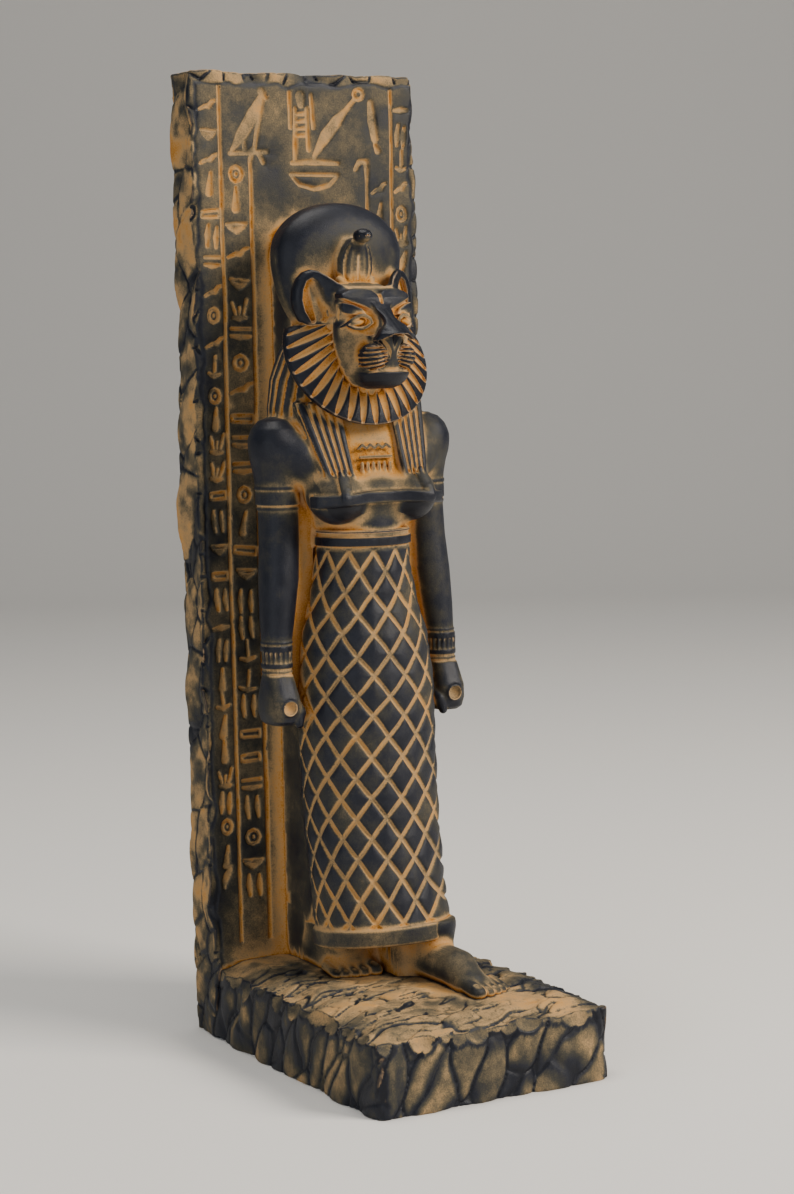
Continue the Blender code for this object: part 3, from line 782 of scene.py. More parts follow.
    def _strokes(self, x: Array, z: Array) -> Array:
        """Give the depth of the ruled lines and sunk strokes."""
        depth = np.zeros(np.broadcast(x, z).shape, np.float32)
        waver = self.noise.flat(x * 0.0, z, 24.0, 2) * 0.25
        for line, (low, high) in zip(self.rules, self.rule_ends):
            over = np.clip(low - z, 0.0, 9.0) + np.clip(z - high, 0.0, 9.0)
            gap = np.abs(x - line - waver) + 3.0 * over
            depth = np.maximum(depth, 1.0 - ramp(gap, 0.25, 0.95))
        for u0, v0, r0, u1, v1, r1 in StrokeRows().stretches():
            i0, i1 = np.searchsorted(x[:, 0], (min(u0, u1) - 3.5, max(u0, u1) + 3.5))
            j0, j1 = np.searchsorted(z[0], (min(v0, v1) - 3.5, max(v0, v1) + 3.5))
            gap = chain_gap(((u0, v0, r0), (u1, v1, r1)), x[i0:i1], z[:, j0:j1])
            depth[i0:i1, j0:j1] = np.maximum(depth[i0:i1, j0:j1], 1.0 - ramp(gap, -0.2, 0.6))
        return depth * (0.9 + 0.2 * self.noise.flat(x, z, 2.4, 1))


def bow(*points: Point) -> tuple[Point, ...]:
    """Name one chain of a stroke: points with u, v and half width in millimetres."""
    return points


class Mark(Enum):
    """The plain kinds of sunk stroke, one unit tall and wide, each of one or more chains."""

    LENS = (bow((-1.0, 0.0, 0.4), (0.0, 0.0, 1.1), (1.0, 0.0, 0.4)),)
    TWO_BARS = (bow((-1.0, 0.4, 0.4), (1.0, 0.45, 0.4)),
                bow((-1.0, -0.2, 0.3), (0.0, -0.3, 0.9), (1.0, -0.2, 0.3)))
    BOWL = (bow((-1.0, 0.3, 0.4), (1.0, 0.3, 0.4)),
            bow((-0.8, 0.05, 0.4), (0.0, -0.25, 1.1), (0.8, 0.05, 0.4)))
    DROP = (bow((0.0, 1.0, 0.2), (-0.1, -0.1, 0.9), (-0.15, -0.8, 1.3)),)
    LEAVES = (bow((-0.5, 1.0, 0.3), (-0.55, 0.1, 0.9), (-0.45, -0.9, 0.3)),
              bow((0.5, 0.9, 0.3), (0.45, 0.0, 0.9), (0.55, -0.9, 0.3)))
    SPINDLE = (bow((0.4, 1.0, 0.3), (0.0, 0.2, 1.2), (-0.3, -0.4, 0.9), (-0.3, -1.0, 0.3)),)
    RING = (bow(*((0.62 * sin(t), 0.62 * cos(t), 0.42) for t in np.linspace(0.0, 2.0 * pi, 9))),
            bow((0.0, 0.05, 0.35), (0.0, -0.05, 0.35)))
    TWIG = (bow((-1.0, -0.3, 0.3), (-0.3, 0.0, 0.5), (0.2, 0.0, 0.8), (0.6, 0.4, 0.5), (1.0, 0.5, 0.3)),)
    STEM = (bow((0.0, 1.0, 0.35), (0.05, -0.4, 0.35)),
            bow((-0.8, -0.5, 0.3), (0.0, -0.7, 0.8), (0.8, -0.5, 0.3)))
    SLOT = (bow((-1.0, 0.25, 0.32), (1.0, 0.3, 0.32), (1.0, -0.3, 0.32), (-1.0, -0.25, 0.32),
                (-1.0, 0.25, 0.32)),)
    TUFT = (bow((-0.8, 0.7, 0.3), (-0.4, -0.3, 0.4)), bow((0.0, 0.3, 0.25), (0.0, -0.3, 0.3)),
            bow((0.8, 0.9, 0.4), (0.4, -0.3, 0.4)),
            bow((-0.7, -0.6, 0.4), (0.0, -0.65, 1.0), (0.7, -0.6, 0.4)))


@dataclass
class StrokeRows:
    """Columns of plain strokes that spell nothing, laid out by a node tree."""

    seed: int = 41
    foot: float = 40.0
    columns: tuple[tuple[float, float, float, float], ...] = (
        (-38.8, 337.0, 9.3, 3.5), (-28.4, 313.0, 9.6, 4.5), (30.6, 308.0, 9.4, 3.8), (39.8, 337.0, 9.3, 3.0))
    panel: tuple[tuple[Point, ...], ...] = (
        bow((-17.4, 341.0, 0.9), (-20.6, 334.5, 2.3), (-25.6, 327.0, 2.0), (-29.4, 321.8, 0.6)),
        bow((-17.6, 342.6, 1.2), (-15.4, 340.4, 0.5)),
        bow((-16.8, 340.0, 0.6), (-19.0, 331.0, 0.7), (-20.6, 322.0, 0.6)),
        bow((-25.2, 328.0, 0.6), (-24.4, 321.6, 0.6)), bow((-30.4, 320.4, 0.7), (-15.8, 321.2, 0.7)),
        bow((-6.2, 342.6, 0.5), (-6.0, 330.0, 0.6)), bow((2.6, 342.0, 0.5), (3.4, 330.0, 0.6)),
        bow((-1.8, 341.4, 1.7), (-1.5, 338.4, 1.2)), bow((-3.9, 337.0, 0.6), (-4.3, 319.0, 0.6)),
        bow((0.8, 337.0, 0.6), (1.2, 322.0, 0.6)), bow((-3.6, 334.8, 0.4), (0.6, 335.2, 0.5)),
        bow((-3.6, 332.2, 0.4), (0.6, 332.6, 0.5)), bow((-3.7, 329.6, 0.4), (0.7, 330.0, 0.5)),
        bow((-3.8, 327.2, 0.4), (0.8, 327.4, 0.5)),
        bow((-5.6, 317.4, 0.6), (4.0, 317.9, 1.0), (13.4, 317.6, 0.6)),
        bow((-6.2, 313.4, 0.5), (13.2, 313.4, 0.5)),
        bow((-5.8, 312.8, 0.4), (-2.6, 309.7, 0.6), (3.6, 308.2, 0.7), (9.8, 309.7, 0.6), (13.0, 312.8, 0.4)),
        bow((3.6, 320.0, 0.6), (8.4, 327.2, 2.2), (13.4, 333.0, 1.9), (16.8, 336.6, 0.8), (20.8, 340.8, 0.6)),
        bow(*((22.4 + 1.9 * sin(t), 342.6 + 1.9 * cos(t), 0.5) for t in np.linspace(0.0, 2.0 * pi, 9))),
        bow((27.4, 339.6, 1.1), (28.0, 333.0, 1.6), (29.0, 326.8, 1.3)),
        bow((29.0, 324.6, 0.5), (30.2, 322.2, 1.0)),
        bow((-22.5, 317.6, 0.6), (-21.6, 321.8, 0.8), (-18.8, 320.6, 0.8), (-17.2, 317.2, 0.6)),
        bow((20.6, 315.4, 0.6), (22.4, 318.2, 0.9), (25.2, 318.4, 0.8), (25.4, 313.0, 0.6)))

    def stretches(self) -> list[list[float]]:
        """Lay every stroke out.

        Returns:
            The straight stretches of all strokes: both ends, each as x, z and half width.
        """
        tree = self._tree()
        library = bpy.data.collections.new("strokes")
        for mark in Mark:
            library.objects.link(self._pattern(mark))
        found = []
        for number, (x, top, pitch, half) in enumerate(self.columns):
            values = {"Column": x, "Top": top, "Pitch": pitch, "Count": int((top - self.foot) / pitch),
                      "Width": half, "Seed": self.seed + number, "Strokes": library}
            found += self._laid(tree, values)
        for chain in self.panel:
            found += [[*a, *b] for a, b in zip(chain, chain[1:])]
        for pattern in list(library.objects):
            bpy.data.meshes.remove(pattern.data)
        bpy.data.collections.remove(library)
        bpy.data.node_groups.remove(tree)
        return found

    @staticmethod
    def _pattern(mark: Mark) -> bpy.types.Object:
        """Make the pattern of one kind of stroke: edges, with the half width on each vertex."""
        points = [point for chain in mark.value for point in chain]
        edges, start = [], 0
        for chain in mark.value:
            edges += [(start + i, start + i + 1) for i in range(len(chain) - 1)]
            start += len(chain)
        mesh = bpy.data.meshes.new(mark.name)
        mesh.from_pydata([(u, 0.0, v) for u, v, _ in points], edges, [])
        widths = mesh.attributes.new("half", "FLOAT", "POINT")
        widths.data.foreach_set("value", [half for _, _, half in points])
        return bpy.data.objects.new(mark.name, mesh)

    @staticmethod
    def _tree() -> bpy.types.NodeTree:
        """Build the node tree that sets one column of strokes."""
        tree = bpy.data.node_groups.new("stroke_column", "GeometryNodeTree")
        for name, kind in (("Column", "Float"), ("Top", "Float"), ("Pitch", "Float"), ("Count", "Int"),
                           ("Width", "Float"), ("Seed", "Int"), ("Strokes", "Collection")):
            tree.interface.new_socket(name, in_out="INPUT", socket_type="NodeSocket" + kind)
        tree.interface.new_socket("Geometry", in_out="OUTPUT", socket_type="NodeSocketGeometry")
        given = add_node(tree, "NodeGroupInput").outputs
        start = add_node(tree, "ShaderNodeCombineXYZ", {}, {"X": given["Column"], "Z": given["Top"]})
        drop = add_node(tree, "ShaderNodeMath", {"operation": "MULTIPLY", 1: -1.0}, {0: given["Pitch"]})
        step = add_node(tree, "ShaderNodeCombineXYZ", {}, {"Z": drop.outputs[0]})
        line = add_node(tree, "GeometryNodeMeshLine", {"mode": "OFFSET"}, {
            "Count": given["Count"], "Start Location": start.outputs[0], "Offset": step.outputs[0]})
        shift = add_node(tree, "FunctionNodeRandomValue", {"data_type": "FLOAT_VECTOR", 0: (-0.3, 0.0, -0.9),
                                                           1: (0.3, 0.0, 0.9)}, {"Seed": given["Seed"]})
        placed = add_node(tree, "GeometryNodeSetPosition", {}, {"Geometry": line.outputs[0],
                                                               "Offset": shift.outputs[0]})
        pick = add_node(tree, "FunctionNodeRandomValue", {"data_type": "INT", 4: 0, 5: len(Mark) - 1},
                        {"Seed": given["Seed"]})
        size = add_node(tree, "FunctionNodeRandomValue", {"data_type": "FLOAT", 2: 0.8, 3: 1.0},
                        {"Seed": given["Seed"]})
        wide = add_node(tree, "ShaderNodeMath", {"operation": "MULTIPLY"},
                        {0: size.outputs[1], 1: given["Width"]})
        tall = add_node(tree, "ShaderNodeMath", {"operation": "MULTIPLY", 1: 0.45}, {0: given["Pitch"]})
        scale = add_node(tree, "ShaderNodeCombineXYZ", {"Y": 1.0},
                         {"X": wide.outputs[0], "Z": tall.outputs[0]})
        lean = add_node(tree, "FunctionNodeRandomValue", {"data_type": "FLOAT_VECTOR", 0: (0.0, -0.12, 0.0),
                                                          1: (0.0, 0.12, 0.0)}, {"Seed": given["Seed"]})
        strokes = add_node(tree, "GeometryNodeCollectionInfo",
                           {"Separate Children": True, "Reset Children": True},
                           {"Collection": given["Strokes"]})
        rows = add_node(tree, "GeometryNodeInstanceOnPoints", {"Pick Instance": True}, {
            "Points": placed.outputs[0], "Instance": strokes.outputs[0], "Instance Index": pick.outputs[2],
            "Rotation": lean.outputs[0], "Scale": scale.outputs[0]})
        real = add_node(tree, "GeometryNodeRealizeInstances", {}, {"Geometry": rows.outputs[0]})
        add_node(tree, "NodeGroupOutput", {}, {"Geometry": real.outputs[0]})
        return tree

    @staticmethod
    def _laid(tree: bpy.types.NodeTree, values: dict[str, object]) -> list[list[float]]:
        """Run the tree with its named inputs, and read the stretches of its strokes.

        Args:
            tree: The node tree.
            values: Its inputs by name.

        Returns:
            Both ends of each stretch, each as x, z and half width.
        """
        holder = bpy.data.objects.new("stroke_column", bpy.data.meshes.new("stroke_column"))
        bpy.context.scene.collection.objects.link(holder)
        tool = holder.modifiers.new("Strokes", "NODES")
        tool.node_group = tree
        for item in tree.interface.items_tree:
            if item.name in values:
                tool[item.identifier] = values[item.name]
        graph = bpy.context.evaluated_depsgraph_get()
        mesh = bpy.data.meshes.new_from_object(holder.evaluated_get(graph))
        half = mesh.attributes["half"].data
        ends = [(v.co.x, v.co.z, half[v.index].value) for v in mesh.vertices]
        found = [[*ends[e.vertices[0]], *ends[e.vertices[1]]] for e in mesh.edges]
        bpy.data.meshes.remove(mesh)
        bpy.data.meshes.remove(holder.data)
        return found


@dataclass
class Base(Maker):
    """The rough base: split sides, a flaked rim and a chiselled top."""

    step: float = 0.5
    noise: Noise = field(default_factory=lambda: Noise(19))
    side_scales: Scales = Scales(7.6, 17.0, 5, round=1.2, tilt=1.5, uneven=0.9, lean=0.35)
    chip_scales: Scales = Scales(4.2, 7.5, 15, round=1.1, tilt=0.9, uneven=0.9, lean=0.2)

    def clay(self) -> Clay:
        """Model the base."""
        clay = Clay((-50.0, -74.0, 0.0), (50.0, 56.0, 31.5), self.step)
        x, y, z = (a.reshape(s) for a, s in zip(clay.axes, ((-1, 1, 1), (1, -1, 1), (1, 1, -1))))
        top = self._top(clay.axes[0][:, None], clay.axes[1][None, :])[0][:, :, None]
        left = -x - (HALF + 0.9) - self._split(y, z, 0.0)[0]
        right = x - (HALF + 0.9) - self._split(y, z, 300.0)[0]
        front = -y + FRONT - 0.6 - self._split(-x, z, 600.0)[0]
        walls = soft_max(soft_max(left, right, 0.0), front, 4.0)
        clay.field[:] = soft_max(soft_max(walls, z - top, 0.7), y - 55.0, 0.0)
        self.flakes = self._flakes()
        for flake in self.flakes:
            clay.cut(flake, 0.08)
        return clay

    def pigment(self, points: Array, normals: Array) -> tuple[Array, Array]:
        """Brush ridges and facets, leave the cracks dark, dust round the feet and the slab's foot."""
        x, y, z = points.T
        upward = ramp(normals[:, 2], 0.35, 0.75) * (z > 18.0)
        crack = self._top(x, y)[1]
        margin, tone = self._side_margin(points, normals)
        still = self._still(x, y)
        swirl = ramp(x + 0.3 * y, 8.0, 30.0)
        top = 0.05 - 0.38 * crack * (1.0 - 0.85 * still) + 0.08 * still - 0.14 * swirl
        top = top + 0.10 * self.noise.flat(x, y, 7.0, 3)
        wall = -0.34 + (0.19 + 0.10 * tone) * ramp(margin, 0.08, 0.75)
        wall = wall + 0.10 * self.noise.flat(x + y, z * 0.5, 5.0, 3) + 0.14 * ramp(-x - y, 106.0, 112.0)
        bitten = np.zeros(len(points), np.float32)
        outline = np.zeros(len(points), np.float32)
        for flake in self.flakes:
            low, high = np.array(flake.low) - 1.5, np.array(flake.high) + 1.5
            near = np.all((points > low) & (points < high), axis=1)
            gap = flake.distance(*points[near].T)
            bitten[near] = np.maximum(bitten[near], 1.0 - ramp(gap, 0.15, 0.45))
            outline[near] = np.maximum(outline[near], (1.0 - ramp(gap, 0.7, 1.5)))
        extra = top * upward + wall * (1.0 - upward)
        chip = -0.02 + 0.12 * self.noise.flat(x + y, z, 6.0, 3)
        extra = extra * (1.0 - bitten) + chip * bitten - 0.34 * (outline - bitten) * (1.0 - upward)
        return extra, np.ones(len(points), np.float32) - 0.35 * still * upward

    def _side_margin(self, points: Array, normals: Array) -> tuple[Array, Array]:
        """Find how far a place on the sides is from a crack, and its flake's own tone."""
        x, y, z = points.T
        faces = [self._split(u, z, start)[1:] for u, start in ((y, 0.0), (y, 300.0), (-x, 600.0))]
        sideways = np.abs(normals[:, 0]) > np.abs(normals[:, 1])
        return tuple(np.where(sideways, np.where(x < 0, left, right), front)
                     for left, right, front in zip(*faces))

    def _split(self, along: Array, z: Array, start: float) -> tuple[Array, Array, Array]:
        """Give how far a split side stands out, the distance to its cracks and its flakes' tones."""
        warp = 2.0 * self.noise.flat(along + start, z, 17.0, 2)
        height, margin, tone = self.side_scales.relief(along + warp + start, z + warp * 0.6)
        chips = self.chip_scales.relief(along + start - warp, z)[0]
        notch = 0.5 * (1.0 - ramp(margin, 0.0, 0.2))
        return 1.15 * height + 0.30 * chips - notch - 0.03 * (z - 11.0), margin, tone

    @staticmethod
    def _still(x: Array, y: Array) -> Array:
        """Mark where the top lies smooth under dust: round the feet and at the slab's foot."""
        right_foot = np.hypot(x + 9.0, (y - 20.0) / 2.2)
        left_foot = np.hypot(x - 11.5, (y + 26.0) / 2.2)
        feet = np.minimum(right_foot, left_foot)
        return np.maximum(1.0 - ramp(feet, 10.0, 17.0), ramp(y, 22.0, 44.0))

    def _top(self, x: Array, y: Array) -> tuple[Array, Array]:
        """Give the height of the chiselled top, in thin broken layers, and its crevices."""
        inset = np.minimum(np.minimum(HALF - np.abs(x), y - FRONT), 40.0)
        dome = 25.2 + 2.8 * ramp(inset, 0.0, 12.0)
        warp = 3.0 * self.noise.flat(x, y, 19.0, 2)
        u, v = x + 0.5 * y + warp, y - 0.22 * x + warp
        height = crack = 0.0
        layers = ((0.0, 30.0, 8.5, 0.55), (500.0, 17.0, 5.0, 0.42), (900.0, 9.0, 3.4, 0.22))
        for start, wide, tall, drop in layers:
            wave = self.noise.flat((u + start) / wide * 10.0, v / tall * 10.0, 10.0, 2)
            height = height + drop * np.tanh(wave / 0.10)
            crack = np.maximum(crack, (1.0 - ramp(np.abs(wave + 0.05), 0.0, 0.075)) * min(1.0, drop * 1.9))
        calm = 1.0 - 0.88 * self._still(x, y)
        return dome + (height - 0.5 * crack) * calm + 0.2 * self.noise.flat(x, y, 4.0, 2), crack

    @staticmethod
    def _flakes() -> list[Form]:
        """Lay out the thumb-wide flakes struck off the rim."""
        dice = np.random.default_rng(31)
        path, place = [], 0.0
        ends = (50.0 - FRONT, 50.0 - FRONT + 2.0 * HALF, 2.0 * (50.0 - FRONT) + 2.0 * HALF)
        while place < ends[2]:
            if place < ends[0]:
                path.append((-HALF - 1.2, 50.0 - place, -1, 0))
            elif place < ends[1]:
                path.append((-HALF + place - ends[0], FRONT - 1.0, 0, -1))
            else:
                path.append((HALF + 1.2, FRONT + place - ends[1], 1, 0))
            place += dice.uniform(8.0, 14.5)
        flakes = []
        for x, y, outward, forward in path:
            wide = dice.uniform(5.4, 8.6)
            away = dice.uniform(1.2, 3.6)
            middle = (x + outward * away, y + forward * away, 27.4 + dice.uniform(-1.6, 1.6))
            deep = away + dice.uniform(1.9, 3.6)
            flakes.append(ball(middle, (wide if forward else deep, deep if forward else wide,
                                        dice.uniform(5.6, 8.8))))
        return flakes


@dataclass
class Pillar(Maker):
    """The back pillar with its round top."""

    half: float = 16.5
    front: float = 27.2
    top: float = 298.0
    step: float = 0.6

    def clay(self) -> Clay:
        """Model the pillar, its sides hollowed a little by hand."""
        clay = Clay((-20.0, 24.0, 20.0), (20.0, 56.0, 301.0), self.step)
        noise = Noise(12)

        def column(x: Array, y: Array, z: Array) -> Array:
            """Measure to the pillar's sides, round top and faces."""
            rise = np.maximum(z - (self.top - self.half), 0.0)
            reach = np.hypot(x, rise) if rise.any() else np.abs(x)
            wave = 0.3 * noise.flat(y + 0.0 * z, z * 0.4, 14.0, 2)
            return soft_max(reach - self.half - wave, np.maximum(self.front - y, y - 55.0), 1.2)

        clay.add(Form((-18.0, 26.0, 21.0), (18.0, 55.0, 300.0), column))
        clay.field[:, :, :3] = np.maximum(clay.field[:, :, :3], 0.3)
        return clay

    def pigment(self, points: Array, normals: Array) -> tuple[Array, Array]:
        """Wipe the pillar's corners, which stand free of the slab."""
        wiped = -0.02 - 0.06 * (1.0 - ramp(points[:, 1], 28.0, 34.0))
        return wiped, np.zeros(len(points), np.float32)


# The figure


@dataclass
class Skirt(Maker):
    """The long skirt under its bead net, with its hem."""

    stations: tuple[tuple[float, float, float], ...] = (
        (186.0, 16.5, 16.8), (176.0, 17.2, 17.4), (162.0, 18.2, 20.0), (149.0, 17.6, 23.4),
        (132.0, 16.5, 24.9), (109.0, 16.0, 25.0), (82.0, 13.9, 24.7), (61.0, 10.2, 24.5),
        (36.0, 5.0, 24.7))
    ratio: float = 0.92
    groove: float = 0.95
    depth: float = 0.95
    step: float = 0.45

    def clay(self) -> Clay:
        """Model the skirt."""
        clay = Clay((-28.5, -22.0, 34.0), (28.5, 38.0, 188.0), self.step)
        table = np.array(sorted(self.stations), np.float32)
        noise = Noise(51)

        def cloth(x: Array, y: Array, z: Array) -> Array:
            """Measure to the skirt with its net cut in."""
            middle = np.interp(z.ravel(), table[:, 0], table[:, 1]).reshape(z.shape)
            half = np.interp(z.ravel(), table[:, 0], table[:, 2]).reshape(z.shape)
            depth = half * self.ratio
            a, b = x / half, (y - middle) / depth
            k0 = np.sqrt(a * a + b * b)
            k1 = np.sqrt((a / half) ** 2 + (b / depth) ** 2) + 1e-6
            side = k0 * (k0 - 1.0) / k1
            turn = np.degrees(np.arctan2(a, -b))
            return side + self._net(turn, z, half, noise)

        low_end = self._hem_level
        body = Form((-26.0, -20.0, 34.0), (26.0, 40.0, 187.0),
                    lambda x, y, z: np.maximum(cloth(x, y, z), np.maximum(low_end(y) + 1.0 - z, z - 187.0)))
        clay.add(body)
        clay.add(self._hem(table), 0.5)
        return clay

    def pigment(self, points: Array, normals: Array) -> tuple[Array, Array]:
        """Fill the net's grooves."""
        x, y, z = points.T
        table = np.array(sorted(self.stations), np.float32)
        middle, half = (np.interp(z, table[:, 0], table[:, i]) for i in (1, 2))
        turn = np.degrees(np.arctan2(x / half, -(y - middle) / (half * self.ratio)))
        deep = ramp(self._net(turn, z, half, Noise(51)), -0.1, self.depth * 0.85)
        above = ramp(z, self._hem_level(y) + 6.0, self._hem_level(y) + 8.0)
        dust = 0.08 * Noise(8).solid(points, 11.0, 2)
        extra = 0.28 * deep * above + (0.05 + dust) * above + 0.17 * (1.0 - above)
        return extra, np.zeros(len(x), np.float32)

    @staticmethod
    def _hem_level(y: Array) -> Array:
        """Give the height of the hem's lower edge, which dips towards the back."""
        return 38.7 + (18.0 - y) * 0.1

    def _hem(self, table: Array) -> Form:
        """Make the plain band round the hem, with the groove above it."""
        def band(x: Array, y: Array, z: Array) -> Array:
            """Measure to the band."""
            middle = np.interp(46.0, table[:, 0], table[:, 1])
            half = 25.4
            a, b = x / half, (y - middle) / (half * self.ratio)
            k0 = np.sqrt(a * a + b * b)
            k1 = np.sqrt((a / half) ** 2 + (b / (half * self.ratio)) ** 2) + 1e-6
            level = self._hem_level(y)
            return soft_max(k0 * (k0 - 1.0) / k1 - 0.15, np.maximum(level - z, z - level - 6.6), 1.5)

        return Form((-27.0, -20.0, 36.0), (27.0, 33.0, 52.0), band)

    def _net(self, turn: Array, z: Array, half: Array, noise: Noise) -> Array:
        """Give how deep the net is cut at each turn round the body and height."""
        fall = 165.0 - z
        start = -14.0 - 0.157 * fall
        pitch = 30.5 - 0.055 * fall
        column = (turn - start) / pitch
        widen = 0.056 * fall / pitch
        column = column - widen * np.maximum(column - 1.5, 0.0) ** 2 * 0.8
        row = (179.6 - z) / 14.4
        shake = 0.035 * noise.flat(turn, z, 17.0, 2)
        one, two = column + row + shake, column - row - shake
        across = radians(1.0) * pitch * half
        slant = 1.0 / np.sqrt(1.0 / across ** 2 + 1.0 / 14.4 ** 2)
        gap_one = np.abs(one - np.round(one)) * slant
        gap_two = np.abs(two - np.round(two)) * slant
        gap = np.minimum(gap_one, gap_two)
        cut = self.depth * (1.0 - ramp(gap, 0.25, self.groove + 0.35))
        pillow = 0.35 * ramp(gap, 0.8, 3.6)
        limits = ramp(z, 46.0, 48.5) * (1.0 - ramp(z, 179.0, 181.0))
        return (cut - pillow) * limits


@dataclass
class Feet(Maker):
    """Both feet, the left one a step ahead, and the stone between the ankles."""

    step: float = 0.4

    def clay(self) -> Clay:
        """Model the feet."""
        clay = Clay((-21.0, -52.0, 23.0), (22.5, 42.0, 48.0), self.step)
        self._foot(clay, -9.0, 2.4, 34.0, -1.0)
        self._foot(clay, 12.6, -46.5, 0.0, 1.0)
        clay.add(stack([(24.0, 9.0, 19.0, 9.4, 24.0), (43.0, 9.0, 18.0, 9.0, 22.0)], power=4.0), 3.0)
        clay.add(stack([(24.0, -6.0, 27.0, 10.5, 16.0), (43.0, -7.0, 26.0, 10.0, 15.0)], power=4.0), 3.0)
        return clay

    @staticmethod
    def _foot(clay: Clay, middle: float, toes: float, heel: float, side: float) -> None:
        """Model one foot.

        Args:
            clay: The clay.
            middle: Its middle across.
            toes: How far forward the big toe reaches.
            heel: How far back the heel reaches.
            side: -1 for the right foot and 1 for the left.
        """
        inner = middle - side * 4.2
        clay.add(cord([(middle, heel, 33.0), (middle - side * 1.0, toes + 21.0, 33.5),
                       (middle - side * 1.2, toes + 12.0, 29.5), (middle - side * 1.0, toes + 8.0, 28.0)],
                      [7.4, 6.9, 5.6, 4.0]))
        clay.add(cord([(middle + side * 2.6, toes + 20.0, 28.6), (middle + side * 4.0, toes + 10.0, 27.6)],
                      [5.4, 3.4]), 3.0)
        clay.add(cord([(middle, heel - 4.0, 34.0), (middle, heel - 7.0, 46.0)], [7.6, 8.2]), 3.0)
        for i in range(5):
            radius = (2.75, 2.0, 1.9, 1.8, 1.7)[i]
            across = inner + side * (0.0, 4.3, 7.6, 10.6, 13.3)[i]
            tip = toes + (2.6, 2.6, 3.4, 4.6, 6.2)[i]
            rise = 28.3 + (0.9, 0.4, 0.2, 0.0, -0.1)[i]
            toe = cord([(across - side * 0.2, tip + 9.0, rise + 1.6), (across, tip, rise)],
                       [radius * 0.95, radius])
            clay.add(toe, 0.5 if i else 0.9)
            clay.cut(ball((across, tip - radius * 0.25, rise + radius * 1.12),
                          (radius * 0.62, radius * 0.95, radius * 0.42)), 0.15)

    def pigment(self, points: Array, normals: Array) -> tuple[Array, Array]:
        """Dust the insteps and heels, and leave the toes bare."""
        x, y = points.T[:2]
        toes = np.where(x < 2.0, ramp(y, 8.0, 15.0), ramp(y, -40.0, -31.0))
        dust = np.where(x < 2.0, 0.36, 0.22)
        return dust * (0.35 + 0.65 * toes) * ramp(normals[:, 2], -0.2, 0.4), np.zeros(len(x), np.float32)


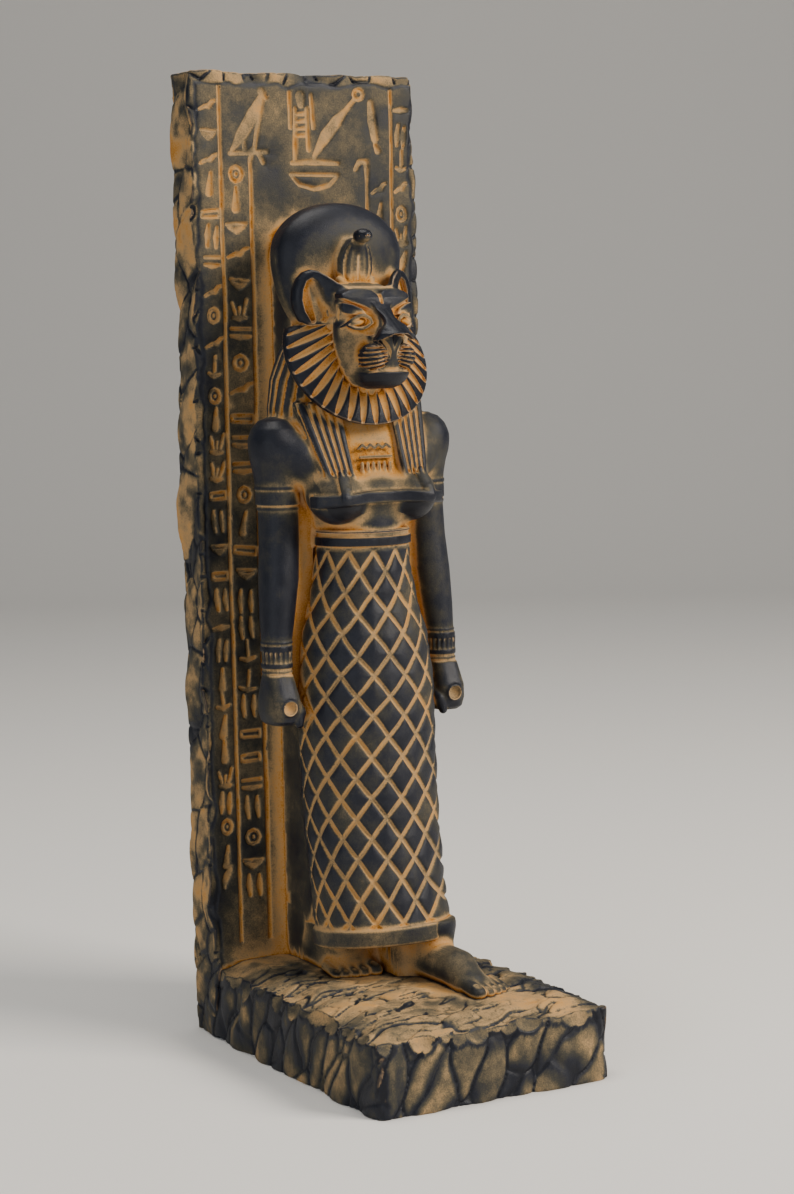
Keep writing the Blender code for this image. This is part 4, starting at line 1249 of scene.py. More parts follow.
@dataclass
class Body(Maker):
    """Trunk, arms, dress top, hair on the shoulders and the stone behind the arms."""

    step: float = 0.45

    def clay(self) -> Clay:
        """Model the body."""
        clay = Clay((-41.5, -9.0, 114.0), (41.5, 36.0, 262.0), self.step)
        self._trunk(clay)
        self._arms(clay)
        self._hair(clay)
        self._ornament(clay)
        return clay

    @staticmethod
    def _trunk(clay: Clay) -> None:
        """Model waist, chest, breasts and the dress band with its straps."""
        rows = ((180.5, 15.6, 3.6), (186.0, 16.6, 1.4), (191.0, 17.8, 1.6), (197.0, 20.5, 1.8),
                (204.0, 22.6, 3.4), (210.0, 24.6, 6.2), (218.0, 27.0, 8.8), (224.0, 25.0, 11.5),
                (229.0, 16.0, 15.0), (240.0, 12.0, 12.0))
        clay.add(stack([(z, 0.0, 24.0, half, 24.0 - front) for z, half, front in rows]))
        clay.add(ball((0.0, 9.0, 199.4), (15.0, 9.6, 7.4)), 3.0)
        clay.add(ball((14.4, 8.0, 198.2), (9.2, 11.2, 9.0), mirrored=True), 4.0)
        clay.add(ball((15.0, 11.0, 200.6), (8.6, 10.4, 7.6), mirrored=True), 3.5)
        clay.cut(ball((0.0, -9.4, 191.0), (30.0, 9.6, 2.6)), 2.0)
        clay.add(Form((-27.0, -9.0, 193.0), (27.0, 16.0, 204.0), Body._band), 0.5)
        clay.add(cord([(15.6, 0.8, 206.6), (16.4, -3.2, 200.6), (16.6, -4.0, 198.6)],
                      [2.3, 2.3, 2.3], mirrored=True, flat=0.5), 0.3)
        for low, high, grow in ((181.3, 184.5, 0.9), (185.7, 186.6, 0.5)):
            waist = [(low, 0.0, 16.6, 16.9 + grow, 15.4 + grow), (high, 0.0, 16.6, 16.9 + grow, 15.4 + grow)]
            clay.add(stack(waist), 0.35)

    @staticmethod
    def _band(x: Array, y: Array, z: Array) -> Array:
        """Measure to the band that lies over the breasts."""
        ax = np.abs(x)
        swell = np.exp(-((ax - 14.6) / 7.5) ** 2)
        front = -2.0 - 3.2 * swell + 0.011 * np.clip(ax - 13.0, 0.0, 99.0) ** 2.4
        level = 198.8 - 0.08 * np.clip(ax - 8.0, 0.0, 99.0)
        outline = np.maximum(np.abs(z - level) - 2.1, ax - 25.5)
        return soft_max(outline, np.maximum(front - y, y - front - 6.0), 1.0)

    @staticmethod
    def _arms(clay: Clay) -> None:
        """Model the arms with armlets, bracelets and closed hands, and the stone behind them."""
        limb = ((226.8, 30.0, 24.5, 2.4), (225.6, 30.2, 24.5, 5.4), (223.0, 30.5, 24.5, 7.5),
                (219.0, 30.6, 24.4, 8.7), (213.0, 30.2, 24.3, 8.8), (205.0, 29.6, 24.2, 7.9),
                (196.0, 29.6, 23.8, 7.1), (183.0, 30.0, 23.0, 7.0), (170.0, 31.0, 22.0, 7.1),
                (157.0, 32.4, 21.0, 6.2), (146.0, 33.4, 20.2, 5.2), (134.0, 33.6, 19.6, 5.0))
        clay.add(stack([(z, x, y, r, r * 1.06) for z, x, y, r in limb], mirrored=True), 2.2)
        clay.add(cord([(30.0, 23.0, 217.0), (23.0, 18.2, 212.0), (16.5, 14.4, 207.0)], [8.6, 8.6, 7.6],
                      mirrored=True), 3.0)
        web = plate([(17.0, 126.0), (29.0, 124.0), (29.0, 216.0), (17.0, 216.0)],
                    lambda x, z: 21.5 + 0.0 * x * z, 12.0, 0.5, mirrored=True)
        clay.add(web, 2.2)
        table = np.array(limb)[::-1]
        bands = ((201.6, 202.8, 0.35), (196.2, 201.0, 0.45), (194.4, 195.6, 0.35), (147.6, 148.4, 0.3),
                 (145.0, 146.9, 0.5), (138.9, 140.8, 0.5), (137.2, 138.1, 0.35))
        for low, high, grow in bands:
            middle = (low + high) / 2
            x, y, r = (float(np.interp(middle, table[:, 0], table[:, i])) for i in (1, 2, 3))
            ring = [(low, x, y, r + grow, r * 1.06 + grow), (high, x, y, r + grow, r * 1.06 + grow)]
            clay.add(stack(ring, mirrored=True), 0.15)
        for i in range(-4, 5):
            turn = radians(19.0 * i)
            foot, head = ((33.5 + (r + 0.1) * sin(turn), 20.1 - (r * 1.06 + 0.1) * cos(turn), z)
                          for z, r in ((140.6, 4.95), (145.2, 5.15)))
            clay.add(cord([foot, head], [0.52, 0.52], mirrored=True), 0.1)
        hand = [(119.0, 33.2, 18.8, 4.4, 6.4), (120.2, 33.4, 18.6, 5.6, 7.8), (123.5, 33.6, 18.6, 6.2, 8.6),
                (128.0, 33.6, 18.6, 6.1, 8.6), (132.0, 33.6, 19.0, 5.5, 7.2), (136.4, 33.6, 19.4, 4.9, 5.5)]
        clay.add(stack(hand, mirrored=True, power=3.0), 0.8)
        clay.add(cord([(33.6, 18.0, 125.6), (33.6, 11.6, 125.6)], [3.7, 3.5], mirrored=True), 0.5)
        clay.cut(Form((-37.0, 4.0, 122.0), (37.0, 11.0, 130.0), lambda x, y, z: y - 9.4), 0.3)
        clay.cut(cord([(33.6, 9.0, 125.4), (33.6, 4.0, 125.4)], [2.5, 2.5], mirrored=True), 0.2)
        clay.add(cord([(29.8, 19.0, 129.0), (28.6, 13.0, 123.4), (29.4, 11.6, 119.4)],
                      [2.8, 2.4, 1.5], mirrored=True), 0.4)
        for x, z in ((33.4, 122.6), (31.0, 121.4)):
            clay.cut(cord([(x, 9.6, z), (x + 3.0, 10.4, z - 3.6)], [0.4, 0.4], mirrored=True), 0.2)

    @staticmethod
    def _hair(clay: Clay) -> None:
        """Model the hair behind the collar, parted into locks."""
        mass = [(210.0, 0.0, 29.0, 20.0, 8.0), (221.0, 0.0, 27.0, 30.4, 14.0),
                (230.0, 0.0, 27.0, 30.6, 13.8), (240.0, 0.0, 27.5, 29.2, 12.4),
                (249.0, 0.0, 28.0, 25.6, 11.0), (258.0, 0.0, 29.0, 20.0, 10.0)]
        clay.add(stack(mass), 1.0)

        def furrows(x: Array, y: Array, z: Array) -> Array:
            """Cut the partings between the locks."""
            return -0.95 * Body._partings(x, y, z)

        clay.swell(Form((-33.0, 10.0, 219.0), (33.0, 29.0, 256.0), furrows))
        fall = plate([(9.9, 232.0), (9.9, 206.0), (20.1, 205.6), (22.2, 215.0), (25.4, 232.0)],
                     Body._fall_front, 9.0, 1.2, mirrored=True)
        clay.add(fall, 1.2)

        def chest_furrows(x: Array, y: Array, z: Array) -> Array:
            """Cut the partings in the two falls of hair on the chest."""
            return -0.95 * Body._chest_partings(x, y, z)

        clay.swell(Form((-29.0, -1.0, 205.2), (29.0, 20.0, 233.0), chest_furrows))

    @staticmethod
    def _fall_front(x: Array, z: Array) -> Array:
        """Give the depth of the front of the hair on the chest."""
        return 1.4 + 0.42 * np.clip(z - 206.0, 0.0, 99.0) + 0.0055 * x * x

    @staticmethod
    def _partings(x: Array, y: Array, z: Array) -> Array:
        """Say where a parting runs between the locks beside the neck."""
        side = np.degrees(np.arctan2(np.abs(x) / 30.0, (27.0 - y) / 14.0))
        gap = np.abs(((side + 0.12 * (z - 235.0)) / 11.5 + 0.5) % 1.0 - 0.5) * 5.0
        return (1.0 - ramp(gap, 0.35, 1.25)) * ramp(z, 226.0, 228.5) * (y < 29.0) * (np.abs(x) > 17.0)

    @staticmethod
    def _chest_partings(x: Array, y: Array, z: Array) -> Array:
        """Say where a parting runs in the falls of hair on the chest and round their outer sides."""
        share = (np.abs(x) - 10.1) / (9.8 + 0.20 * (z - 206.0))
        behind = y - Body._fall_front(x, z)
        lock = np.minimum(share, 0.92) * 5.0 + np.clip(behind - 0.8, 0.0, 9.0) / 2.2 * (share > 0.5)
        gap = np.abs(lock % 1.0 - 0.5) * 2.4
        inside = ramp(share, 0.02, 0.08) * (1.0 - ramp(share, 1.08, 1.18)) * (1.0 - ramp(behind, 2.9, 4.0))
        return ramp(gap, 0.45, 0.95) * inside * ramp(z, 205.6, 207.0)

    def pigment(self, points: Array, normals: Array) -> tuple[Array, Array]:
        """Fill the partings, the chest and the stone behind the arms, and paint shade under the breasts."""
        x, y, z = points.T
        ax = np.abs(x)
        forward = ramp(-normals[:, 1], 0.2, 0.5)
        fall = self._chest_partings(x, y, z) * ramp(-normals[:, 1], -0.1, 0.2) * (1.0 - ramp(z, 228.0, 231.0))
        locks = self._partings(x, y, z) * (z > 222.0)
        chest = 1.35 * (1.0 - ramp(ax, 8.6, 10.4)) * ramp(z, 203.5, 206.5)
        chest = chest * (1.0 - ramp(z, 222.0, 226.0)) * forward
        web = (1.0 - ramp(np.abs(y - 21.4), 1.4, 3.0)) * (ax > 16.0) * (ax < 29.0) * (z < 214.0) * forward
        # Painted shade: the undersides of the breasts below the band are darkened.
        under = (z < 196.5) * (z > 187.5) * (y < 2.0) * (1.0 - ramp(((ax - 15.0) / 9.0) ** 2, 0.3, 1.1))
        bodice = 0.14 * ramp(z, 200.0, 202.0) * (1.0 - ramp(z, 206.0, 209.0)) * (y < 14.0) * (ax < 23.0)
        rod = (1.0 - ramp(np.hypot(ax - 33.6, z - 125.5), 2.3, 2.9)) * (y < 13.0)
        extra = 0.34 * fall + 0.32 * locks + 0.30 * chest + 0.22 * web - 0.4 * under + 0.40 * rod + bodice
        return extra, np.zeros(len(points), np.float32)

    @staticmethod
    def _ornament(clay: Clay) -> None:
        """Model the small chest ornament: bars under a line and a toothed row."""
        for i in range(6):
            x = -5.6 + 2.24 * i
            clay.add(cord([(x, 4.9, 206.4), (x, 5.2, 210.2)], [0.62, 0.62]), 0.15)
        clay.add(cord([(-6.2, 5.5, 212.4), (6.2, 5.5, 212.4)], [0.6, 0.6]), 0.15)
        teeth = [(-6.4 + 1.6 * i, 6.3, 215.4 + (1.3 if i % 2 else 0.0)) for i in range(9)]
        clay.add(cord(teeth, [0.55] * 9), 0.15)


@dataclass
class Mane(Maker):
    """The collar of hair round the face, with the sun disc and the cobra above."""

    step: float = 0.36
    flutes: int = 21
    span: float = 148.0

    def clay(self) -> Clay:
        """Model the mane."""
        clay = Clay((-30.0, -1.0, 221.0), (30.0, 36.0, 303.5), self.step)
        self._disc(clay)
        neck = ((231.0, 8.0, 9.0), (236.0, 11.0, 7.6), (242.0, 13.6, 7.4), (250.0, 15.2, 7.6),
                (257.0, 16.0, 7.6), (262.0, 16.4, 7.6), (266.0, 16.2, 7.2), (269.0, 15.6, 7.4),
                (271.0, 14.2, 8.4), (272.6, 12.4, 12.0), (274.6, 9.0, 17.5), (277.4, 5.0, 20.5))
        clay.add(stack([(z, 0.0, 26.0, half * 1.06, 26.0 - face) for z, half, face in neck]), 1.5)
        self._cobra(clay)
        self._collar(clay)
        return clay

    def pigment(self, points: Array, normals: Array) -> tuple[Array, Array]:
        """Fill the flutes and the hollow round the cobra's foot."""
        x, y, z = points.T
        turn, share = self._fan(x, z)
        near = 1.0 - ramp(np.abs(y - self._front(turn, share) - 0.6), 1.4, 2.4)
        on_rays = (share > -0.15) * (share < 1.02) * (np.abs(turn) < radians(self.span + 1.0))
        fan = near * on_rays * (normals[:, 1] < 0.1)
        flute = np.clip(self._flute(turn, share) * 1.7, 0.0, 1.0)
        extra = fan * ((0.36 + 0.12 * (1.0 - share)) * flute - 0.20 * (1.0 - flute))
        spots = (
            (0.34, 0.0, 273.4, 12.0, 2.8, (y < 23.0) * (z < 282.0)),
            (0.10, 0.0, 276.0, 17.0, 7.0, (y > 14.0) * (y < 29.0)),
            (0.10, 0.0, 278.0, 5.5, 7.0, y < 17.5), (0.34, 0.0, 287.8, 2.6, 1.8, y < 17.5),
            (-0.10, 0.0, 290.0, 26.0, 12.0, y > 17.0))
        for amount, across, height, wide, tall, where in spots:
            extra = extra + amount * where * np.exp(-((x - across) / wide) ** 2 - ((z - height) / tall) ** 2)
        return extra, np.zeros(len(points), np.float32)

    @staticmethod
    def _disc(clay: Clay) -> None:
        """Model the sun disc, a low dome on a thin rim."""
        def dome(x: Array, y: Array, z: Array) -> Array:
            """Measure to the disc."""
            rise = np.where(z > 284.0, 18.0, 33.0)
            rho = np.sqrt((x / 25.0) ** 2 + ((z - 284.0) / rise) ** 2)
            front = 30.4 - 11.4 * np.sqrt(np.clip(1.0 - rho ** 2, 0.0, 1.0))
            edge = (rho - 1.0) * 21.0
            return soft_max(edge, np.maximum((front - y) * 0.8, y - 34.5), 0.7)

        clay.add(Form((-25.5, 18.0, 250.0), (25.5, 35.0, 302.5), dome))

    @staticmethod
    def _cobra(clay: Clay) -> None:
        """Model the rearing cobra: ribbed hood, neck, head and coil."""
        hood = [(0.0, 270.5), (3.6, 271.2), (6.0, 273.6), (7.0, 278.0), (6.6, 282.2), (5.0, 285.8),
                (2.8, 288.4), (0.0, 289.4)]

        def front(x: Array, z: Array) -> Array:
            """Give the depth of the hood's front."""
            return 14.6 + 0.045 * x * x - 0.10 * (z - 279.0)

        clay.add(plate(hood, front, 8.0, 1.2, mirrored=True), 1.0)
        rib = [(3.2, 272.2), (3.9, 272.4), (5.2, 276.0), (5.5, 280.0), (4.6, 284.4), (3.4, 287.0),
               (3.0, 286.6), (4.0, 283.6), (4.6, 279.6), (4.4, 276.0)]
        clay.cut(plate(rib, lambda x, z: front(x, z) - 3.0, 3.45, 0.2, mirrored=True), 0.4)
        belly = [(0.0, 272.0), (1.9, 272.4), (2.9, 276.0), (3.0, 280.0), (2.4, 284.6), (0.0, 285.6)]
        clay.cut(plate(belly, lambda x, z: front(x, z) - 3.0, 3.2, 0.2, mirrored=True), 0.4)
        for i in range(6):
            z = 273.2 + 1.9 * i
            depth = 14.75 - 0.10 * (z - 279.0)
            clay.cut(cord([(-2.2, depth, z), (2.2, depth, z)], [0.25, 0.25]), 0.15)
        clay.add(cord([(0.0, 15.6, 284.8), (0.0, 13.4, 288.6), (0.0, 11.6, 290.0)], [1.7, 1.9, 1.8]), 0.9)
        clay.add(ball((0.0, 11.4, 289.6), (3.3, 3.9, 2.5)), 0.8)
        clay.add(ball((1.9, 10.6, 290.9), (0.85, 1.1, 0.75), mirrored=True), 0.1)
        clay.cut(cord([(-2.2, 9.6, 289.5), (0.0, 7.6, 289.7), (2.2, 9.6, 289.5)], [0.28, 0.28, 0.28]), 0.1)
        coil = [(1.2, 15.6, 271.6), (4.6, 16.0, 272.4), (6.6, 17.4, 274.6)]
        clay.add(cord(coil, [1.6, 1.5, 1.2], mirrored=True), 0.5)

    def _flute(self, turn: Array, share: Array) -> Array:
        """Find how deep each place on the collar lies in a flute.

        Args:
            turn: The turn round the face.
            share: The share of the way from inner to outer edge.

        Returns:
            0 on the raised rays, rising to 1 along the middle of each flute.
        """
        step = radians(2.0 * self.span) / self.flutes
        place = (turn + radians(self.span)) / step
        offset = np.abs(place - np.floor(place) - 0.5)
        width = 0.485 * np.clip(1.0 - share / 0.99, 0.0, 1.0) ** 0.45
        across = np.clip(1.0 - (offset / np.maximum(width, 1e-3)) ** 2, 0.0, 1.0)
        return across ** 0.6 * ramp(width, 0.0, 0.14)

    def _front(self, turn: Array, share: Array) -> Array:
        """Give the depth of the collar's front before the flutes are cut."""
        outer = 4.0 + (self._outer(turn)[1] - 223.6) * 0.55
        inner = 7.6 + (self._inner(turn)[1] - 236.5) * 0.13
        swell = 0.9 * np.sin(np.clip(share, 0.0, 1.0) * pi)
        return inner + (outer - inner) * np.clip(share, -0.2, 1.05) - swell

    def _collar(self, clay: Clay) -> None:
        """Model the collar of hair: raised rays that widen outward, scooped between."""
        turn, share = self._fan(clay.axes[0][:, None], clay.axes[2][None, :])
        front = (self._front(turn, share) + 1.35 * self._flute(turn, share))[:, None, :]
        edge = ((share - 1.0) * 13.0)[:, None, :]
        inner = ((-0.25 - share) * 12.0)[:, None, :]
        upper = (np.abs(turn) - radians(self.span + 1.5))[:, None, :] * 14.0
        thick = 3.4 + 3.0 * (1.0 - np.clip(share, 0.0, 1.0))[:, None, :]
        y = clay.axes[1][None, :, None]
        sheet = np.maximum((front - y) * 0.82, (y - front - thick) * 0.9)
        fan = soft_max(np.maximum(np.maximum(edge, inner), upper), sheet, 0.7)
        clay.field = soft_min(clay.field, fan, 0.4)

    @staticmethod
    def _outer(turn: Array) -> tuple[Array, Array]:
        """Find the collar's outer edge in x and z."""
        return 27.6 * np.sin(turn * 0.78), 247.2 - 23.6 * np.cos(turn * 0.78)

    @staticmethod
    def _inner(turn: Array) -> tuple[Array, Array]:
        """Find the collar's inner edge in x and z."""
        lift = 3.5 * ramp(np.abs(turn), radians(105.0), radians(150.0))
        return 13.6 * np.sin(turn), 249.5 - 13.0 * np.cos(turn) + lift

    def _fan(self, x: Array, z: Array) -> tuple[Array, Array]:
        """Find which ray each place on the collar belongs to.

        Args:
            x: Places across.
            z: Places up.

        Returns:
            The turn round the face and the share of the way from inner to outer edge.
        """
        turn = np.arctan2(x + 0.0 * z, 248.5 - z)
        share = np.full(turn.shape, 0.5, np.float32)
        for _ in range(10):
            ox, oz = self._outer(turn)
            ix, iz = self._inner(turn)
            rx, rz = ox - ix, oz - iz
            length = rx * rx + rz * rz
            share = np.clip(((x - ix) * rx + (z - iz) * rz) / length, -0.6, 1.6)
            off = ((x - ix - rx * share) * -rz + (z - iz - rz * share) * rx) / np.sqrt(length)
            reach = np.maximum(13.3 * (1.0 - share) + 20.0 * share, 6.0)
            turn = np.clip(turn + off / reach, -pi, pi)
        return turn, share


@dataclass
class Head(Maker):
    """The lioness head with her ears."""

    step: float = 0.3
    philtrum: tuple[Point, ...] = ((0.0, 243.6, 2.4), (0.0, 247.6, 1.1), (2.9, 254.0, 1.1))
    pad: Form = ball((5.9, -4.0, 247.4), (4.5, 6.0, 4.7), mirrored=True, turn=-8.0)
    ear: tuple[tuple[float, float], ...] = (
        (8.0, 269.0), (9.3, 271.9), (13.2, 275.9), (15.6, 277.6), (17.8, 278.2), (20.2, 277.3),
        (22.2, 275.1), (23.6, 271.7), (24.0, 267.6), (23.4, 264.0), (21.6, 260.2), (18.0, 258.0),
        (13.0, 259.0), (10.0, 264.0))
    ear_hollow: tuple[tuple[float, float], ...] = (
        (14.4, 267.0), (15.2, 271.0), (16.5, 274.0), (18.0, 275.1), (19.6, 274.0), (20.7, 271.0),
        (21.0, 267.5), (20.2, 263.6), (18.0, 259.6), (14.4, 259.8), (12.4, 262.0), (13.0, 264.8))

    def clay(self) -> Clay:
        """Model the head."""
        clay = Clay((-27.5, -18.5, 234.0), (27.5, 27.0, 280.5), self.step)
        self._skull(clay)
        self._ears(clay)
        self._muzzle(clay)
        self._eyes(clay)
        return clay

    def pigment(self, points: Array, normals: Array) -> tuple[Array, Array]:
        """Fill the ears, the eyes and the whisker lines, leave the nose bare, and paint shade below the lower
        lip and under the nose.
        """
        x, y, z = points.T
        ax = np.abs(x)
        front = (y < 6.0).astype(np.float32)
        ears = (y < 24.0) * (y > 4.0) * (z > 259.0) * (ax > 9.0) * (normals[:, 1] < 0.3)
        within = polygon_gap(list(self.ear_hollow), ax, z)
        extra = ears * (0.34 * (1.0 - ramp(within, -0.8, 0.6)) - 0.14 * ramp(within, 0.4, 1.2)
                        * (polygon_gap(list(self.ear), ax, z) < 0.5))
        # The dark spot at x 5.7, z 252.4 is painted shade in the hollow at each corner of the nose.
        spots = (
            (0.50, 9.0, 259.4, 5.4, 3.4, front), (-0.60, 13.4, 258.9, 1.6, 1.3, front),
            (0.26, 6.3, 261.6, 2.8, 3.2, front), (0.30, 0.0, 271.6, 13.0, 0.9, (y < 14.0) * (y > 0.0)),
            (0.10, 6.5, 268.8, 8.0, 2.4, y < 8.0), (0.30, 0.0, 267.4, 1.0, 3.2, y < 5.0),
            (0.30, 0.0, 243.4, 7.0, 0.9, y < -4.0), (-0.55, 5.7, 252.4, 1.3, 1.3, y < -5.0),
            (0.12, 11.0, 247.0, 5.0, 9.0, (y > -2.0) * (y < 9.0)), (0.14, 10.0, 240.0, 4.0, 3.0, y > -1.0))
        for amount, across, height, wide, tall, where in spots:
            extra = extra + amount * where * np.exp(-((ax - across) / wide) ** 2 - ((z - height) / tall) ** 2)
        # Painted shade: the receding front below the lower lip is darkened to black.
        below_lip_shade = ramp(242.2 - z, 0.0, 1.0) * (1.0 - ramp(ax, 7.6, 10.4))
        below_lip_shade = below_lip_shade * (1.0 - ramp(y, -3.0, 1.5)) * (z > 235.0)
        nose = ramp(-2.0 - y, 0.0, 2.0) * (z > 253.8) * (ax < 8.4)
        # Ochre on the philtrum; painted shade under the nose everywhere else on the snout above the lip.
        middle = chain_gap(self.philtrum, ax, z)
        snout = (y < -5.5) * (z < 254.6) * (z > 243.0) * (ax < 5.6)
        nose_shade_and_philtrum_ochre = snout * (0.08 * (1.0 - ramp(middle, -0.1, 0.4)) - 0.46 * ramp(middle, 0.1, 0.5) * (z > 247.0))
        lines, pads = self._whisker_lines(x, y, z)
        extra = extra * (1.0 - pads) + 0.62 * lines - 0.42 * pads + nose_shade_and_philtrum_ochre * (1.0 - pads)
        return extra - 0.45 * below_lip_shade - 0.12 * nose, np.zeros(len(points), np.float32)

    @staticmethod
    def _skull(clay: Clay) -> None:
        """Model the head's mass and the slope behind the brow."""
        rows = ((231.0, 8.0, 9.0), (236.0, 11.0, 6.6), (242.0, 13.6, 5.4), (250.0, 15.2, 4.6),
                (257.0, 16.0, 3.6), (262.0, 16.4, 2.6), (266.0, 16.2, 2.2), (269.0, 15.6, 3.4),
                (271.0, 14.2, 6.4), (272.6, 12.4, 12.0), (274.6, 9.0, 17.5), (277.4, 5.0, 20.5))
        clay.add(stack([(z, 0.0, 26.0, half * 1.06, 26.0 - face) for z, half, face in rows]), 1.5)
        mask = ((237.4, 9.6, 7.6, 7.4), (241.0, 9.2, 10.4, 8.4), (245.0, 9.0, 11.9, 8.4),
                (250.0, 8.4, 13.1, 7.6), (254.0, 7.2, 13.9, 6.6), (258.0, 6.4, 14.4, 6.2),
                (262.0, 6.2, 14.4, 5.6), (266.0, 6.8, 13.6, 5.2), (269.0, 8.4, 12.4, 4.6),
                (272.0, 12.0, 10.8, 4.2))
        clay.add(stack([(z, 0.0, middle, half, deep) for z, middle, half, deep in mask], power=2.9), 1.4)
        clay.add(ball((0.0, 6.0, 256.6), (9.6, 9.8, 9.0)), 2.2)

    def _muzzle(self, clay: Clay) -> None:
        """Model jaw, whisker pads, nose and the slits under it."""
        jaw = [(236.4, 0.0, 2.0, 4.6, 4.4), (237.4, 0.0, 1.0, 7.0, 6.0), (239.0, 0.0, 0.4, 8.6, 7.2),
               (241.0, 0.0, 0.0, 9.6, 8.0), (241.9, 0.0, 0.0, 9.8, 8.3), (242.5, 0.0, 0.4, 9.2, 8.0),
               (247.0, 0.0, 4.0, 7.6, 10.0)]
        clay.add(stack(jaw, power=2.3), 1.8)
        snout = [(243.4, 0.0, -1.0, 5.0, 7.0), (246.0, 0.0, -1.0, 5.4, 7.8), (250.0, 0.0, -1.0, 5.8, 8.8),
                 (254.8, 0.0, -1.0, 6.4, 9.6)]
        clay.add(stack(snout, power=2.4), 0.8)
        clay.add(self.pad, 0.15)
        clay.cut(cord([(0.0, -9.0, 243.0), (5.0, -8.4, 242.8), (10.0, -2.8, 242.0), (12.0, 1.5, 242.2)],
                      [0.4, 0.45, 0.45, 0.2], mirrored=True), 0.25)
        clay.add(cord([(0.0, -5.0, 254.4), (0.0, -2.6, 259.0), (0.0, 3.0, 264.5)], [4.6, 3.4, 4.6]), 1.2)
        bridge = [(0.0, 255.3), (2.6, 255.0), (5.0, 254.0), (7.1, 252.7), (7.6, 253.4), (5.7, 256.2),
                  (3.7, 258.7), (2.8, 261.0), (3.0, 264.0), (3.6, 266.2), (0.0, 266.6)]
        clay.add(plate(bridge, Head._bridge, 3.4, 0.5, mirrored=True), 0.2)
        clay.cut(cord([(0.0, -11.2, 254.6), (0.0, -10.4, 251.4), (0.0, -9.8, 249.6)], [1.5, 0.9, 0.3]), 0.3)
        slit = [(4.8, -7.8, 253.4), (3.1, -9.2, 251.2), (1.9, -9.4, 249.2), (1.7, -9.0, 246.8)]
        clay.cut(cord(slit, [1.1, 0.9, 0.75, 0.45], mirrored=True), 0.15)
        clay.cut(ball((5.7, -9.4, 252.6), (1.5, 2.2, 1.3), mirrored=True), 0.3)
        clay.swell(Form((-13.5, -13.0, 241.5), (13.5, 4.0, 253.5), self._whiskers))

    @staticmethod
    def _bridge(x: Array, z: Array) -> Array:
        """Give the depth of the nose's front, from brow to tip and round under it."""
        line = np.interp(np.ravel(z), (252.5, 255.2, 257.0, 261.0, 264.0, 266.8),
                         (-16.4, -15.4, -13.2, -7.2, -3.0, -0.2)).reshape(np.shape(z))
        return line + 0.065 * x * x * (1.0 - ramp(z, 256.0, 259.0)) + 0.04 * x * x

    def _whiskers(self, x: Array, y: Array, z: Array) -> Array:
        """Cut the whisker lines, which fan out across the two pads."""
        return -0.95 * self._whisker_lines(x, y, z)[0]

    def _whisker_lines(self, x: Array, y: Array, z: Array) -> tuple[Array, Array]:
        """Say where the whisker lines run, and where the pads are."""
        ax = np.abs(x)
        spread = 0.80 + 0.30 * np.clip((ax - 2.2) / 8.0, 0.0, 1.0)
        wave = 0.5 + 0.5 * np.cos((z - 247.7 + 0.14 * (ax - 6.0)) / spread * 2.0 * pi / 1.5)
        on_pad = (1.0 - ramp(np.abs(self.pad.distance(x, y, z)), 0.5, 1.2)) * (y < 1.0)
        inner = ramp(((ax - 5.9) / 4.4) ** 2 + ((z - 247.3) / 4.6) ** 2, 0.82, 1.0)
        return wave ** 4 * on_pad * (1.0 - inner), on_pad * (1.0 - 0.5 * inner)

    @staticmethod
    def _eyes(clay: Clay) -> None:
        """Model brow plates, lids, eyes and the line that runs out from each."""
        brow = [(0.5, 264.6), (0.5, 268.8), (2.2, 270.4), (6.0, 271.2), (9.6, 270.9), (13.2, 269.4),
                (13.4, 267.9), (10.6, 266.3), (7.6, 265.1), (4.4, 263.8), (2.0, 263.4)]

        def brow_front(x: Array, z: Array) -> Array:
            """Give the depth of the brow's front."""
            fall = 0.75 * np.clip(z - 267.8, 0.0, 9.0) - 0.10 * np.clip(267.8 - z, 0.0, 9.0)
            return -0.7 + 0.016 * x * x + 0.010 * np.clip(x - 8.0, 0.0, 9.0) ** 2 + fall

        clay.add(plate(brow, brow_front, 6.0, 0.9, mirrored=True), 0.9)
        clay.cut(ball((5.4, -6.4, 261.0), (3.0, 5.6, 3.2), mirrored=True, turn=-10.0), 1.2)
        clay.cut(ball((9.0, -4.6, 259.7), (4.4, 4.8, 2.9), mirrored=True, turn=-12.0), 0.9)
        lid = [(6.0, 261.9), (7.6, 264.0), (10.4, 265.4), (13.6, 266.2), (14.2, 264.8), (13.6, 262.9),
               (11.2, 262.0), (8.8, 261.7)]
        clay.add(plate(lid, lambda x, z: -2.5 + 0.022 * x * x, 4.0, 0.5, mirrored=True), 0.3)
        clay.cut(cord([(3.6, -3.4, 261.6), (6.4, -2.4, 264.2), (10.0, -1.2, 266.0), (14.6, 2.0, 267.0)],
                      [0.45, 0.5, 0.5, 0.45], mirrored=True), 0.25)
        clay.cut(cord([(0.0, 3.6, 270.8), (0.0, -0.6, 267.8), (0.0, -1.2, 264.4)], [0.7, 0.6, 0.4]), 0.4)
        clay.add(ball((8.9, 0.4, 259.5), (3.1, 2.7, 1.65), mirrored=True, turn=-14.0), 0.1)
        upper = [(5.2, -3.4, 259.2), (6.0, -3.2, 260.7), (7.6, -2.6, 261.7), (9.4, -1.8, 261.5),
                 (11.2, -0.6, 260.3), (12.8, 0.9, 258.9), (14.6, 2.7, 257.8)]
        lower = [(5.2, -3.4, 259.2), (6.9, -2.8, 257.8), (9.0, -2.0, 257.2), (10.8, -0.9, 257.4),
                 (12.4, 0.6, 258.2)]
        clay.add(cord(upper, [0.45, 0.6, 0.68, 0.7, 0.7, 0.6, 0.35], mirrored=True), 0.2)
        clay.add(cord(lower, [0.45, 0.55, 0.6, 0.6, 0.5], mirrored=True), 0.2)

